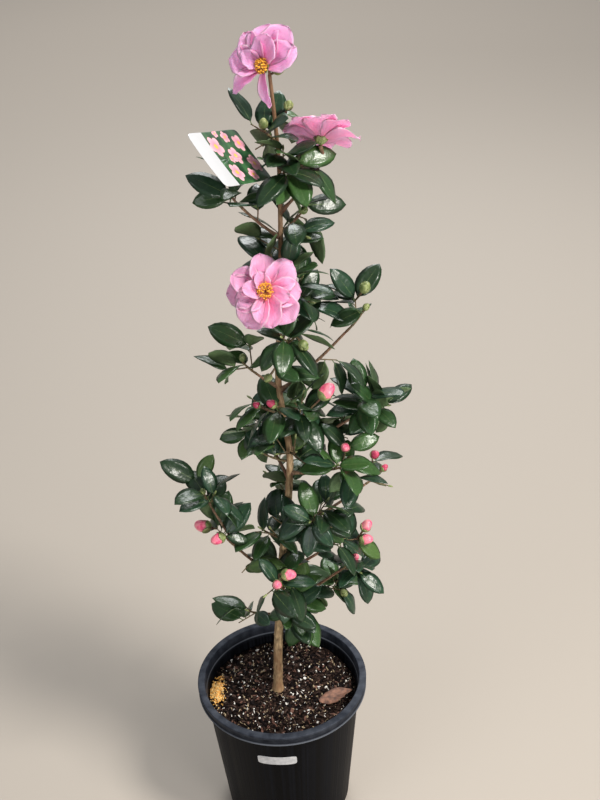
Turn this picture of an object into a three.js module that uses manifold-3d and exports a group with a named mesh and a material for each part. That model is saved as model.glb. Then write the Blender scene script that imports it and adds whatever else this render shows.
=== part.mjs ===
// A young camellia shrub in flower, about 1.2 m tall, in the black plastic pot it was grown in.
// One slim trunk rises from the potting mix and carries tapering boughs. Each bough ends in a mass of
// foliage, and shorter masses sit on the trunk itself. Three blooms, buds and a picture tag go with it.
// Millimetres, +Z up, +X to the right and +Y to the back. The origin is the middle of the pot's underside.

import * as THREE from "three";
import { mergeVertices } from "three/addons/utils/BufferGeometryUtils.js";
import Module from "manifold-3d";

const wasm = await Module();
wasm.setup();

const UP = new THREE.Vector3(0, 0, 1);
const GAP = 0.3; // between pieces that touch
const GOLDEN_TURN = 137.5; // degrees from one leaf to the next round a twig

// Pot and potting mix
const POT_HEIGHT = 240;
const POT_SIDES = 36;
const POT_FLOOR = 4;
const BASE_RADIUS = 95;
const RIM_RADIUS = 127.5;
const WALL_TOP_RADIUS = 116.5; // outside of the wall, just under the rim's band
const WALL = 2.2;
const BAND_HEIGHT = 15;
const LIP_WIDTH = 10.5;
const EDGE = 2; // rounding of the rim's edges
const MIX_TOP = 212;

// Trunk: its middle at each height, its radius, and the flare at its foot
const TRUNK_LINE = [
  [-7, 0, 212], [-3, 1, 290], [4, 2, 370], [12, 0, 460], [26, -3, 570], [31, -2, 650], [25, 1, 705],
  [22, 3, 765], [28, 2, 830], [33, 0, 890], [35, -2, 950], [37, -1, 1000], [38, 1, 1046], [36, 2, 1100],
  [33, 0, 1150],
];
const TRUNK_RINGS = 26;
const TRUNK_SIDES = 8;
const FOOT_RADIUS = 7.2;
const TIP_RADIUS = 2.1;
const ROOT_FLARE = 2.4; // added to the foot's radius, gone at FLARE_HEIGHT
const FLARE_HEIGHT = 22;

// Boughs: where each leaves the trunk (from, a height) or another bough (on, at a share of its length), the
// way it points (turn is 0 to the right and 90 to the back, rise is above level), its length and its radius
// at the start. They all curl a little towards the light.
const BOUGHS = [
  { name: "low_left", from: 360, turn: 202, rise: 18, length: 36, radius: 2.1 },
  { name: "left", from: 424, turn: 202, rise: 49, length: 112, radius: 2.7 },
  { name: "left_up", on: "left", share: 0.82, turn: 172, rise: 62, length: 80, radius: 1.8 },
  { name: "right_low", from: 379, turn: 347, rise: 33, length: 112, radius: 2.6 },
  { name: "right_fork", from: 439, turn: 350, rise: 30, length: 84, radius: 2.5 },
  { name: "right_back", from: 352, turn: 20, rise: 14, length: 76, radius: 2.3 },
  { name: "right_inner", from: 520, turn: 318, rise: 28, length: 56, radius: 2.2 },
  { name: "right_long", from: 508, turn: 12, rise: 20, length: 132, radius: 2.7 },
  { name: "right_mid_low", from: 610, turn: 333, rise: 12, length: 64, radius: 2.2 },
  { name: "right_mid", from: 650, turn: 5, rise: 17, length: 100, radius: 2.5 },
  { name: "right_upper", from: 736, turn: 0, rise: 38, length: 118, radius: 2.5 },
  { name: "left_mid", from: 742, turn: 182, rise: 34, length: 36, radius: 2.1 },
  { name: "upper_right", from: 985, turn: 2, rise: 44, length: 76, radius: 2.1 },
  { name: "upper_left", from: 952, turn: 182, rise: 40, length: 62, radius: 2.0 },
  { name: "back_low", from: 476, turn: 82, rise: 30, length: 78, radius: 2.5 },
  { name: "back_mid", from: 600, turn: 118, rise: 30, length: 66, radius: 2.4 },
  { name: "back_high", from: 786, turn: 66, rise: 38, length: 50, radius: 2.2 },
  { name: "front_low", from: 440, turn: 264, rise: 16, length: 56, radius: 2.4 },
];
const BOUGH_STEPS = 3;
const BOUGH_SIDES = 6;
const BOUGH_TIP_RADIUS = 1.8;
const BOUGH_CURL = 0.3;

// Masses of foliage, each on the trunk at a height (from) or else on the tip of the bough of its own name.
// reach is the length of its stem, and bud the length of the bud at its tip, if any
const MASSES = [
  { name: "low_left", reach: 18, shoots: 1, leaves: 3, seed: 11 },
  { name: "left", reach: 22, shoots: 2, leaves: 4, bud: 16, seed: 12 },
  { name: "left_up", reach: 26, shoots: 2, leaves: 4, bud: 9, seed: 13 },
  { name: "right_low", reach: 26, shoots: 3, leaves: 4, bud: 16, seed: 14 },
  { name: "right_fork", reach: 24, shoots: 2, leaves: 4, bud: 15, seed: 15 },
  { name: "right_back", reach: 24, shoots: 2, leaves: 4, bud: 9, seed: 29 },
  { name: "right_inner", reach: 24, shoots: 2, leaves: 4, seed: 16 },
  { name: "right_long", reach: 30, shoots: 2, leaves: 3, bud: 12, seed: 17 },
  { name: "right_mid_low", reach: 26, shoots: 3, leaves: 4, bud: 13, seed: 18 },
  { name: "right_mid", reach: 34, shoots: 3, leaves: 4, seed: 19 },
  { name: "right_upper", reach: 40, shoots: 2, leaves: 4, bud: 10, seed: 20 },
  { name: "left_mid", reach: 26, shoots: 2, leaves: 4, bud: 9, seed: 21 },
  { name: "upper_left", reach: 18, shoots: 1, leaves: 4, seed: 23 },
  { name: "back_low", reach: 30, shoots: 3, leaves: 4, bud: 14, seed: 24 },
  { name: "back_mid", reach: 30, shoots: 3, leaves: 4, seed: 25 },
  { name: "back_high", reach: 28, shoots: 2, leaves: 4, bud: 12, seed: 26 },
  { name: "front_low", reach: 24, shoots: 2, leaves: 4, bud: 17, seed: 27 },
  { name: "foot", from: 386, turn: 306, rise: 10, reach: 44, shoots: 2, leaves: 4, seed: 28 },
  { name: "left_inner", from: 496, turn: 176, rise: 26, reach: 36, shoots: 1, leaves: 4, seed: 30 },
  { name: "left_centre", from: 628, turn: 196, rise: 24, reach: 42, shoots: 2, leaves: 4, seed: 31 },
  { name: "front_centre", from: 642, turn: 282, rise: 26, reach: 42, shoots: 3, leaves: 4, seed: 32 },
  { name: "left_bud", from: 702, turn: 204, rise: 26, reach: 40, shoots: 2, leaves: 3, bud: 12, seed: 33 },
  { name: "right_bud", from: 684, turn: 332, rise: 36, reach: 48, shoots: 2, leaves: 4, bud: 21, seed: 34 },
  { name: "under_bloom", from: 764, turn: 262, rise: 34, reach: 34, shoots: 1, leaves: 5, bud: 10, seed: 35 },
  { name: "near_bloom", from: 800, turn: 318, rise: 34, reach: 40, shoots: 2, leaves: 4, bud: 11, seed: 36 },
  { name: "above_right", from: 862, turn: 4, rise: 44, reach: 40, shoots: 2, leaves: 4, seed: 37 },
  { name: "above_left", from: 902, turn: 186, rise: 36, reach: 28, shoots: 1, leaves: 4, seed: 38 },
  { name: "upper_back", from: 925, turn: 84, rise: 44, reach: 38, shoots: 1, leaves: 4, seed: 39 },
  { name: "upper_inner", from: 960, turn: 344, rise: 38, reach: 38, shoots: 2, leaves: 3, bud: 11, seed: 40 },
  { name: "below_side_bloom", from: 1030, turn: 322, rise: 34, reach: 30, shoots: 1, leaves: 4, seed: 41 },
  { name: "top_left", from: 1072, turn: 202, rise: 40, reach: 24, shoots: 1, leaves: 5, bud: 8, seed: 45 },
  { name: "top_right", from: 1092, turn: 16, rise: 38, reach: 22, shoots: 1, leaves: 4, bud: 9, seed: 43 },
];
const MASS_ROOM = 66; // radius of the space that a mass keeps to
const MASS_CURL = 0.45;
const STEM_STEPS = 3;
const STEM_RADIUS = 1.8;
const STEM_TIP_RADIUS = 1.4;
const SHOOT_STEPS = 1;
const SHOOT_RADIUS = 1.1;
const SHOOT_LENGTHS = [22, 34];
const SHOOT_SPREAD = 54; // degrees between a shoot and the stem that it leaves

// Leaves, in proportion to their own length
const LEAF_LENGTH = 54;
const LEAF_LENGTHS = [0.82, 1.15];
const LEAF_RINGS = [[0.24, 0.155, 0.034], [0.62, 0.205, 0.03]]; // share along, half width, depth of the keel
const LEAF_ARCH = [0.35, 0.95]; // radians from root to tip
const FIRST_LEAF = 0.36; // shares of the twig's length where its leaves begin and end
const LAST_LEAF = 0.92;
const LEAF_SPREADS = [84, 44]; // degrees from the twig, at the first leaf and at the tip
const LEAF_TRIES = 4;
const LEAF_SINK = 0.45; // how far its root goes past the middle of its twig

// Blooms: the point that the petals spread from (heart), the way the face looks (turn, rise), and the petals.
// A petal's numbers are the way it points round the face, 0 to the face's right and 90 up, how far it opens
// from the way that the face looks, both in degrees, and its length.
const BLOOMS = [
  {
    name: "top_bloom", on: "trunk", heart: [27, -22, 1166], turn: 232, rise: 14,
    petals: [[66, 84, 50], [94, 76, 43], [124, 60, 41], [180, 62, 41], [238, 86, 52], [278, 88, 54]],
  },
  {
    name: "side_bloom", on: "upper_right", heart: [88, -2, 1070], turn: 75, rise: 50,
    petals: [
      [10, 80, 44], [62, 78, 43], [113, 82, 45], [165, 80, 43], [216, 76, 44], [268, 82, 45], [318, 78, 46],
      [36, 56, 36], [156, 58, 35], [280, 56, 37],
    ],
  },
  {
    name: "front_bloom", from: 880, heart: [12, -46, 904], turn: 268, rise: 24,
    petals: [
      [95, 80, 44], [147, 80, 47], [175, 88, 50], [200, 76, 42], [230, 82, 49], [268, 64, 43], [297, 84, 48],
      [346, 80, 42], [42, 80, 44], [168, 50, 32], [100, 46, 30], [332, 52, 34],
    ],
  },
];
const PETAL_RINGS = [[0.45, 0.34, 0.05], [0.88, 0.34, 0.04]];
const PETAL_ARCH = 0.35;
const HEART_RADIUS = 7;
const STALK_RADIUS = 1.7;
const STALK_BEND = 6; // how far a stalk keeps to the way of what it grows on

// Picture tag, a stiff card on a strap round the trunk, and the plain sticker on the pot
const TAG = { middle: [-18, -40, 1070], length: 118, width: 74, thick: 0.8, corner: 3 };
const TAG_LONG = new THREE.Vector3(0.45, 0.85, -0.26).normalize();
const TAG_FACE = new THREE.Vector3(0.72, -0.16, 0.68);
const STRAP = { height: 1048, width: 8, ring: 2.2, radius: 1.2 };
const STICKER = { width: 58, height: 17, thick: 0.5, middle: 178, turn: 262 };

// A closed three.js geometry as a solid that can be joined and cut.
function solidOf(geometry) {
  const bare = geometry.clone();
  bare.deleteAttribute("normal");
  bare.deleteAttribute("uv");
  const merged = mergeVertices(bare, 1e-4);
  const corners = merged.index.array;
  const kept = [];
  for (let i = 0; i < corners.length; i += 3) {
    const [a, b, c] = [corners[i], corners[i + 1], corners[i + 2]];
    if (a !== b && b !== c && c !== a) kept.push([a, b, c]);
  }
  const make = (triangles) =>
    new wasm.Manifold(
      new wasm.Mesh({
        numProp: 3,
        vertProperties: merged.attributes.position.array,
        triVerts: new Uint32Array(triangles.flat()),
      }),
    );
  const made = make(kept);
  return made.volume() > 0 ? made : make(kept.map(([a, b, c]) => [b, a, c]));
}

// A solid back as a geometry.
function geometryOf(solid) {
  const mesh = solid.getMesh();
  return new THREE.BufferGeometry()
    .setAttribute("position", new THREE.BufferAttribute(mesh.vertProperties, 3))
    .setIndex(new THREE.BufferAttribute(mesh.triVerts, 1));
}

const joined = (solids) => solids.reduce((all, one) => all.add(one));

// Moves every vertex of a geometry to where place says, from its own x, y and z.
function reshape(geometry, place) {
  const at = geometry.attributes.position;
  const point = new THREE.Vector3();
  for (let i = 0; i < at.count; i++) {
    const moved = place(point.fromBufferAttribute(at, i));
    at.setXYZ(i, moved.x, moved.y, moved.z);
  }
  return geometry;
}

// A seeded stream of numbers from 0 to 1, by Park and Miller's rule.
function dice(seed) {
  let state = seed * 7919 + 17;
  const roll = () => {
    state = (state * 16807) % 2147483647;
    return state / 2147483647;
  };
  roll();
  return roll;
}

const between = (roll, low, high) => low + (high - low) * roll();
const radians = THREE.MathUtils.degToRad;
const mix = THREE.MathUtils.lerp;

// The direction that points turn degrees round from the right and rise degrees above level.
function heading(turn, rise) {
  const [a, b] = [radians(turn), radians(rise)];
  return new THREE.Vector3(Math.cos(b) * Math.cos(a), Math.cos(b) * Math.sin(a), Math.sin(b));
}

// A direction at right angles to along, turn degrees round it.
function roundAbout(along, turn) {
  const level = Math.abs(along.z) > 0.9 ? new THREE.Vector3(1, 0, 0) : UP;
  const side = new THREE.Vector3().crossVectors(along, level).normalize();
  return side.applyAxisAngle(along, radians(turn));
}

// A direction spread degrees away from along, towards out.
function leaning(along, out, spread) {
  const angle = radians(spread);
  return along.clone().multiplyScalar(Math.cos(angle)).addScaledVector(out, Math.sin(angle));
}

// The line of a limb that sets off along direction and curls towards the light, in equal steps.
function curlingLine(start, direction, length, curl, steps) {
  const line = [start.clone()];
  for (let i = 0; i < steps; i++) {
    const way = direction.clone().addScaledVector(UP, (curl * i) / steps).normalize();
    line.push(line[i].clone().addScaledVector(way, length / steps));
  }
  return line;
}

// The point, and the direction, a share of the way along a line of equal steps.
function alongLine(line, share) {
  const place = share * (line.length - 1);
  const i = Math.min(Math.floor(place), line.length - 2);
  return line[i].clone().lerp(line[i + 1], place - i);
}

function wayAt(line, share) {
  const i = Math.min(Math.floor(share * (line.length - 1)), line.length - 2);
  return line[i + 1].clone().sub(line[i]).normalize();
}

// A tapering limb along a line: a cylinder with its rings set square to the line.
function limb(line, startRadius, tipRadius, sides) {
  const rings = line.length - 1;
  const whole = line[rings].clone().sub(line[0]).normalize();
  const level = Math.abs(whole.z) > 0.8 ? new THREE.Vector3(1, 0, 0) : UP;
  return reshape(new THREE.CylinderGeometry(1, 1, 1, sides, rings), (p) => {
    const i = Math.round((p.y + 0.5) * rings);
    const way = line[Math.min(i + 1, rings)].clone().sub(line[Math.max(i - 1, 0)]).normalize();
    const side = new THREE.Vector3().crossVectors(way, level).normalize();
    const over = new THREE.Vector3().crossVectors(side, way);
    const radius = mix(startRadius, tipRadius, i / rings);
    return line[i].clone().addScaledVector(side, p.x * radius).addScaledVector(over, -p.z * radius);
  });
}

// A point of a leaf or petal: share of its length from the root, side from -1 to 1 across it, and lift above
// it. The blade sets off along way and arches away from its upper face.
function bladePoint(blade, share, side, halfWidth, lift) {
  const bend = blade.arch * share;
  const forward = (blade.length * Math.sin(bend)) / blade.arch;
  const down = (blade.length * (1 - Math.cos(bend))) / blade.arch;
  const across = new THREE.Vector3().crossVectors(blade.way, blade.face);
  const facing = blade.face.clone().multiplyScalar(Math.cos(bend)).addScaledVector(blade.way, Math.sin(bend));
  return blade.root
    .clone()
    .addScaledVector(blade.way, forward)
    .addScaledVector(blade.face, -down)
    .addScaledVector(across, side * halfWidth)
    .addScaledVector(facing, lift);
}

// A blade as a thin solid with three long edges: two are its margins, and the third is the keel below its
// rib. It comes to a point at its root and its tip. The two rings between them are listed as share of its
// length, half width and the keel's depth, and all of these are shares of its length.
function bladeSolid(blade, rings, sink) {
  const stations = [[-sink / blade.length, 0, 0], ...rings, [1, 0, 0]];
  return solidOf(
    reshape(new THREE.SphereGeometry(1, 3, 3), (p) => {
      const fromRoot = Math.acos(THREE.MathUtils.clamp(-p.y, -1, 1)) / Math.PI;
      const [share, half, keel] = stations[Math.round(3 * fromRoot)];
      const side = Math.abs(p.z) > 0.1 ? Math.sign(p.z) : 0;
      return bladePoint(blade, share, side, half * blade.length, side ? 0 : -keel * blade.length);
    }),
  );
}

// A bud: a small egg that grows on from a tip.
const BUD_GIRTH = 0.36;
function budSolid(tip, way, length) {
  const across = roundAbout(way, 0);
  const over = new THREE.Vector3().crossVectors(way, across);
  const radius = length * BUD_GIRTH;
  const middle = tip.clone().addScaledVector(way, 0.42 * length);
  return solidOf(
    reshape(new THREE.SphereGeometry(1, 5, 3), (p) =>
      middle
        .clone()
        .addScaledVector(way, 0.5 * length * p.y)
        .addScaledVector(across, radius * p.x)
        .addScaledVector(over, radius * p.z),
    ),
  );
}

// What is taken up already. Limbs, twigs, leaves and petals are felt out by balls along or across them.
const taken = [];
const MARGIN = 1; // kept between the balls of two different owners
const OWN_SHARE = 1.1; // of the reach of two balls of one owner, kept between them
const BALL_STEP = 5;

function isClear(balls, owner) {
  return balls.every((ball) =>
    taken.every((other) => {
      const reach = ball.radius + other.radius;
      const least = other.owner === owner ? reach * OWN_SHARE : reach + MARGIN;
      return ball.at.distanceTo(other.at) >= least;
    }),
  );
}

function take(balls, owner) {
  for (const ball of balls) taken.push({ ...ball, owner });
}

// Balls along a line, from a share of its length onwards.
function lineBalls(line, radius, from) {
  const length = line[0].distanceTo(line[1]) * (line.length - 1);
  const count = Math.max(2, Math.ceil(length / BALL_STEP));
  const balls = [];
  for (let i = 0; i <= count; i++) {
    if (i / count >= from) balls.push({ at: alongLine(line, i / count), radius });
  }
  return balls;
}

// Balls over a leaf, as share along it, side, and radius as a share of its half width.
const LEAF_BALLS = [
  [0.22, 0, 0.25], [0.38, -0.5, 0.42], [0.38, 0.5, 0.42], [0.46, 0, 0.42], [0.55, -0.5, 0.42],
  [0.55, 0.5, 0.42], [0.64, 0, 0.42], [0.72, -0.35, 0.4], [0.72, 0.35, 0.4], [0.84, 0, 0.35], [0.96, 0, 0.25],
];
function leafBalls(leaf) {
  const half = leaf.length * LEAF_RINGS[0][1];
  return LEAF_BALLS.map(([share, side, radius]) => ({
    at: bladePoint(leaf, share, side, half, 0),
    radius: half * radius,
  }));
}

// Balls over a petal: three across at each of three places along it.
function petalBalls(petal) {
  return [0.4, 0.7, 0.95].flatMap((share) =>
    [-0.6, 0, 0.6].map((side) => ({
      at: bladePoint(petal, share, side, petal.length * PETAL_RINGS[0][1], 0),
      radius: petal.length * 0.13,
    })),
  );
}

// Pot: a turned shell with a flat underside, a leaning wall, and a band and lip round its rim.
function turned(profile) {
  const points = profile.map(([radius, z]) => new THREE.Vector2(radius, z));
  return new THREE.LatheGeometry(points, POT_SIDES).rotateX(Math.PI / 2);
}

const BAND_FOOT = POT_HEIGHT - BAND_HEIGHT;
const WALL_TOP = BAND_FOOT - 2 * EDGE;
const LIP_RADIUS = RIM_RADIUS - LIP_WIDTH;
function potGeometry() {
  return turned([
    [0, 0], [BASE_RADIUS - EDGE, 0], [BASE_RADIUS, EDGE], [WALL_TOP_RADIUS, WALL_TOP],
    [RIM_RADIUS - 3 * EDGE, BAND_FOOT - EDGE], [RIM_RADIUS - EDGE, BAND_FOOT],
    [RIM_RADIUS, POT_HEIGHT - EDGE], [RIM_RADIUS - EDGE, POT_HEIGHT],
    [LIP_RADIUS + EDGE, POT_HEIGHT], [LIP_RADIUS, POT_HEIGHT - EDGE],
    [WALL_TOP_RADIUS - WALL, WALL_TOP], [BASE_RADIUS - WALL, POT_FLOOR], [0, POT_FLOOR],
  ]);
}

// Potting mix: fills the pot to a low mound, and is level round the trunk.
function mixGeometry() {
  const inside = (z) => {
    const share = (z - POT_FLOOR) / (WALL_TOP - POT_FLOOR);
    return mix(BASE_RADIUS, WALL_TOP_RADIUS, share) - WALL - 2 * GAP;
  };
  const bottom = POT_FLOOR + GAP;
  return turned([
    [0, bottom], [inside(bottom), bottom], [inside(MIX_TOP - 6), MIX_TOP - 6], [92, MIX_TOP - 2],
    [55, MIX_TOP + 1], [30, MIX_TOP], [0, MIX_TOP],
  ]);
}

// Sticker: a thin plate that follows the pot's wall.
function stickerGeometry() {
  const lean = (WALL_TOP_RADIUS - BASE_RADIUS) / (WALL_TOP - EDGE);
  const plate = new THREE.BoxGeometry(STICKER.width, STICKER.thick, STICKER.height, 8, 1, 1);
  return reshape(plate, (p) => {
    const z = STICKER.middle + p.z;
    const radius = BASE_RADIUS + lean * (z - EDGE) + GAP + STICKER.thick / 2 + p.y;
    const angle = radians(STICKER.turn) - p.x / radius;
    return new THREE.Vector3(radius * Math.cos(angle), radius * Math.sin(angle), z);
  });
}

// Trunk: level rings round a leaning line, so that its foot is one flat cut on the mix.
const trunkCurve = new THREE.CatmullRomCurve3(TRUNK_LINE.map((point) => new THREE.Vector3(...point)));
const trunkLine = trunkCurve.getSpacedPoints(TRUNK_RINGS);
trunkLine[0].z += GAP;
const TRUNK_TOP = trunkLine[TRUNK_RINGS].z;

function trunkAt(height) {
  const found = trunkLine.findIndex((p) => p.z >= height);
  const i = Math.max(1, found);
  const [a, b] = [trunkLine[i - 1], trunkLine[i]];
  return a.clone().lerp(b, (height - a.z) / (b.z - a.z));
}

function trunkRadius(height) {
  const above = Math.max(0, height - trunkLine[0].z);
  const taper = (above / (TRUNK_TOP - trunkLine[0].z)) ** 0.85;
  return mix(FOOT_RADIUS, TIP_RADIUS, taper) + ROOT_FLARE * Math.max(0, 1 - above / FLARE_HEIGHT) ** 2;
}

function trunkGeometry(extra) {
  return reshape(new THREE.CylinderGeometry(1, 1, 1, TRUNK_SIDES, TRUNK_RINGS), (p) => {
    const middle = trunkLine[Math.round((p.y + 0.5) * TRUNK_RINGS)];
    const radius = trunkRadius(middle.z) + extra;
    return new THREE.Vector3(middle.x + p.x * radius, middle.y - p.z * radius, middle.z);
  });
}

// What is cut from whatever meets the trunk, so that it ends just clear of the bark.
const aroundTrunk = solidOf(trunkGeometry(GAP));
for (let height = MIX_TOP; height < TRUNK_TOP; height += BALL_STEP) {
  take([{ at: trunkAt(height), radius: trunkRadius(height) }], "trunk");
}

const looks = {
  pot: new THREE.MeshStandardMaterial({ color: 0x17191d, roughness: 0.45 }),
  mix: new THREE.MeshStandardMaterial({ color: 0x2b1f19, roughness: 0.95 }),
  bark: new THREE.MeshStandardMaterial({ color: 0x8a6f4c, roughness: 0.8 }),
  leaf: new THREE.MeshStandardMaterial({ color: 0x1f4a30, roughness: 0.35 }),
  petal: new THREE.MeshStandardMaterial({ color: 0xf09ac4, roughness: 0.6 }),
  card: new THREE.MeshStandardMaterial({ color: 0xe9e6df, roughness: 0.5 }),
};
const group = new THREE.Group();

const placed = []; // the solids of all nodes so far
function addNode(name, geometry, look) {
  const mesh = new THREE.Mesh(geometry, looks[look]);
  mesh.name = name;
  group.add(mesh);
  placed.push(solidOf(geometry));
}

// Whether a solid comes too close to a node that is there already.
const isTouching = (solid) => placed.some((other) => solid.minGap(other, GAP) < GAP);

addNode("pot", potGeometry(), "pot");
addNode("potting_mix", mixGeometry(), "mix");
addNode("pot_sticker", stickerGeometry(), "card");
addNode("trunk", trunkGeometry(0), "bark");

// Boughs: each starts inside the trunk, or the bough that it grows on, and is cut clear of it.
const limbs = { trunk: { line: trunkLine, radius: FOOT_RADIUS } };
for (const bough of BOUGHS) {
  const { name, turn, rise, length, radius } = bough;
  const way = heading(turn, rise);
  const parent = limbs[bough.on];
  const start = parent ? alongLine(parent.line, bough.share).addScaledVector(way, 1) : trunkAt(bough.from);
  const line = curlingLine(start, way, length, BOUGH_CURL, BOUGH_STEPS);
  const around = parent
    ? solidOf(limb(parent.line, parent.radius + GAP, BOUGH_TIP_RADIUS + GAP, BOUGH_SIDES))
    : aroundTrunk;
  const solid = solidOf(limb(line, radius, BOUGH_TIP_RADIUS, BOUGH_SIDES)).subtract(around);
  limbs[name] = { line, radius };
  take(lineBalls(line, radius, 0.1), "bough_" + name);
  addNode("bough_" + name, geometryOf(solid), "bark");
}

// Where something starts that grows on a limb's tip, or on the trunk at a height.
function footOf(growth, direction) {
  if (!growth.on) return trunkAt(growth.from);
  return alongLine(limbs[growth.on].line, 1).addScaledVector(direction, GAP);
}

// Blooms: petals round a small heart, on a stalk.
function petalOf(bloom, [around, open, length]) {
  const face = heading(bloom.turn, bloom.rise);
  const out = roundAbout(face, around + 180);
  return {
    root: new THREE.Vector3(...bloom.heart),
    way: leaning(face, out, open),
    face: leaning(face, out, open - 90),
    length,
    arch: PETAL_ARCH,
  };
}

for (const bloom of BLOOMS) {
  const heart = new THREE.Vector3(...bloom.heart);
  const back = heart.clone().addScaledVector(heading(bloom.turn, bloom.rise), 1 - HEART_RADIUS);
  const way = bloom.on ? wayAt(limbs[bloom.on].line, 1) : heading(bloom.turn, bloom.rise);
  const foot = footOf(bloom, way);
  const bend = foot.clone().addScaledVector(way, STALK_BEND);
  const solids = [
    solidOf(limb([foot, bend, back], STALK_RADIUS, STALK_RADIUS, 5)),
    solidOf(new THREE.SphereGeometry(HEART_RADIUS, 6, 4).translate(...heart)),
  ];
  for (const row of bloom.petals) {
    const petal = petalOf(bloom, row);
    solids.push(bladeSolid(petal, PETAL_RINGS, 0));
    take(petalBalls(petal), bloom.name);
  }
  take(lineBalls([foot, back], STALK_RADIUS + 1, 0.2), bloom.name);
  addNode(bloom.name, geometryOf(joined(solids).subtract(aroundTrunk)), "petal");
}

// Tag: a card with round corners, its strap, and the ring that the strap makes round the trunk.
function tagGeometry() {
  const { length, width, thick, corner, middle } = TAG;
  const [x, y] = [length / 2 - corner, width / 2 - corner];
  const outline = new THREE.Shape()
    .absarc(x, y, corner, 0, Math.PI / 2)
    .absarc(-x, y, corner, Math.PI / 2, Math.PI)
    .absarc(-x, -y, corner, Math.PI, 1.5 * Math.PI)
    .absarc(x, -y, corner, 1.5 * Math.PI, 2 * Math.PI);
  const card = new THREE.ExtrudeGeometry(outline, { depth: thick, bevelEnabled: false, curveSegments: 3 });
  const face = TAG_FACE.clone().addScaledVector(TAG_LONG, -TAG_FACE.dot(TAG_LONG)).normalize();
  const across = new THREE.Vector3().crossVectors(face, TAG_LONG);
  const pose = new THREE.Matrix4().makeBasis(TAG_LONG, across, face).setPosition(...middle);
  card.applyMatrix4(pose);
  const hub = trunkAt(STRAP.height);
  const outer = trunkRadius(STRAP.height) + STRAP.ring;
  const ring = new THREE.CylinderGeometry(outer, outer, STRAP.width, 12);
  ring.rotateX(Math.PI / 2).translate(...hub);
  const edge = new THREE.Vector3(length / 2 - corner, -width / 4, thick / 2).applyMatrix4(pose);
  const strap = limb([edge, edge.clone().lerp(hub, 0.5), hub], STRAP.radius, STRAP.radius, 4);
  take(lineBalls([edge, hub], STRAP.radius + 1, 0), "tag");
  for (let i = 0; i <= 11; i++) {
    for (let j = 0; j <= 7; j++) {
      const spot = new THREE.Vector3((i / 11 - 0.5) * length, (j / 7 - 0.5) * width, 0).applyMatrix4(pose);
      take([{ at: spot, radius: 5 }], "tag");
    }
  }
  return geometryOf(joined([solidOf(card), solidOf(strap), solidOf(ring)]).subtract(aroundTrunk));
}
addNode("tag", tagGeometry(), "card");

// Foliage: every stem is placed before the first shoot or leaf, so that each mass has its own way out.
for (const mass of MASSES) {
  if (!mass.from) mass.on = mass.name;
  const way = mass.on ? wayAt(limbs[mass.on].line, 1) : heading(mass.turn, mass.rise);
  mass.line = curlingLine(footOf(mass, way), way, mass.reach, MASS_CURL, STEM_STEPS);
  mass.middle = alongLine(mass.line, 0.8);
  take(lineBalls(mass.line, STEM_RADIUS, mass.on ? 0.05 : 0.25), mass.name);
}

// The side shoots of a mass, as lines. One that would touch another limb is left out.
function shootsOf(mass, roll) {
  const lines = [];
  const firstTurn = 360 * roll();
  for (let k = 0; k < mass.shoots; k++) {
    const share = 0.25 + (0.6 * k) / mass.shoots;
    const along = wayAt(mass.line, share);
    const out = roundAbout(along, firstTurn + GOLDEN_TURN * k);
    const way = leaning(along, out, SHOOT_SPREAD + between(roll, -8, 8));
    const length = between(roll, ...SHOOT_LENGTHS);
    const line = curlingLine(alongLine(mass.line, share), way, length, MASS_CURL, SHOOT_STEPS);
    const balls = lineBalls(line, SHOOT_RADIUS, 0.3);
    if (!isClear(balls, mass.name)) continue;
    take(balls, mass.name);
    lines.push(line);
  }
  return lines;
}

// A leaf that leaves a twig at a share of its length. Its upper face turns to the light.
function leafOn(line, share, turn, spread, roll) {
  const along = wayAt(line, share);
  const way = leaning(along, roundAbout(along, turn), spread).addScaledVector(UP, 0.06).normalize();
  const light = along.clone().multiplyScalar(0.45).addScaledVector(UP, 0.85);
  const face = light.addScaledVector(way, -light.dot(way)).normalize();
  face.applyAxisAngle(way, radians(between(roll, -26, 26)));
  return {
    root: alongLine(line, share),
    way,
    face,
    length: LEAF_LENGTH * between(roll, ...LEAF_LENGTHS),
    arch: between(roll, ...LEAF_ARCH),
  };
}

// The leaves of one twig, from its tip back. One that would leave the mass's space or touch something is
// tried again further round the twig, and then left out.
function leavesOn(line, count, mass, roll) {
  const leaves = [];
  const firstTurn = 360 * roll();
  for (let j = count - 1; j >= 0; j--) {
    const place = j / (count - 1);
    for (let tries = 0; tries < LEAF_TRIES; tries++) {
      const turn = firstTurn + GOLDEN_TURN * j + 40 * tries;
      const spread = mix(...LEAF_SPREADS, place) + between(roll, -8, 8);
      const leaf = leafOn(line, mix(FIRST_LEAF, LAST_LEAF, place), turn, spread, roll);
      const balls = leafBalls(leaf);
      if (balls.at(-1).at.distanceTo(mass.middle) > MASS_ROOM || !isClear(balls, mass.name)) continue;
      take(balls, mass.name);
      leaves.push(leaf);
      break;
    }
  }
  return leaves;
}

for (const mass of MASSES) {
  const roll = dice(mass.seed);
  const shoots = shootsOf(mass, roll);
  const leaves = leavesOn(mass.line, mass.leaves + 1, mass, roll);
  for (const shoot of shoots) leaves.push(...leavesOn(shoot, mass.leaves, mass, roll));
  const blades = leaves.map((leaf) => bladeSolid(leaf, LEAF_RINGS, LEAF_SINK));
  if (mass.bud) blades.push(budSolid(mass.line[STEM_STEPS], wayAt(mass.line, 1), mass.bud));
  const solids = [
    solidOf(limb(mass.line, STEM_RADIUS, STEM_TIP_RADIUS, 4)),
    ...shoots.map((shoot) => solidOf(limb(shoot, SHOOT_RADIUS, SHOOT_RADIUS, 3))),
    ...blades.filter((blade) => !isTouching(blade)),
  ];
  const solid = mass.on ? joined(solids) : joined(solids).subtract(aroundTrunk);
  addNode("foliage_" + mass.name, geometryOf(solid), "leaf");
}

export default group;
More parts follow.
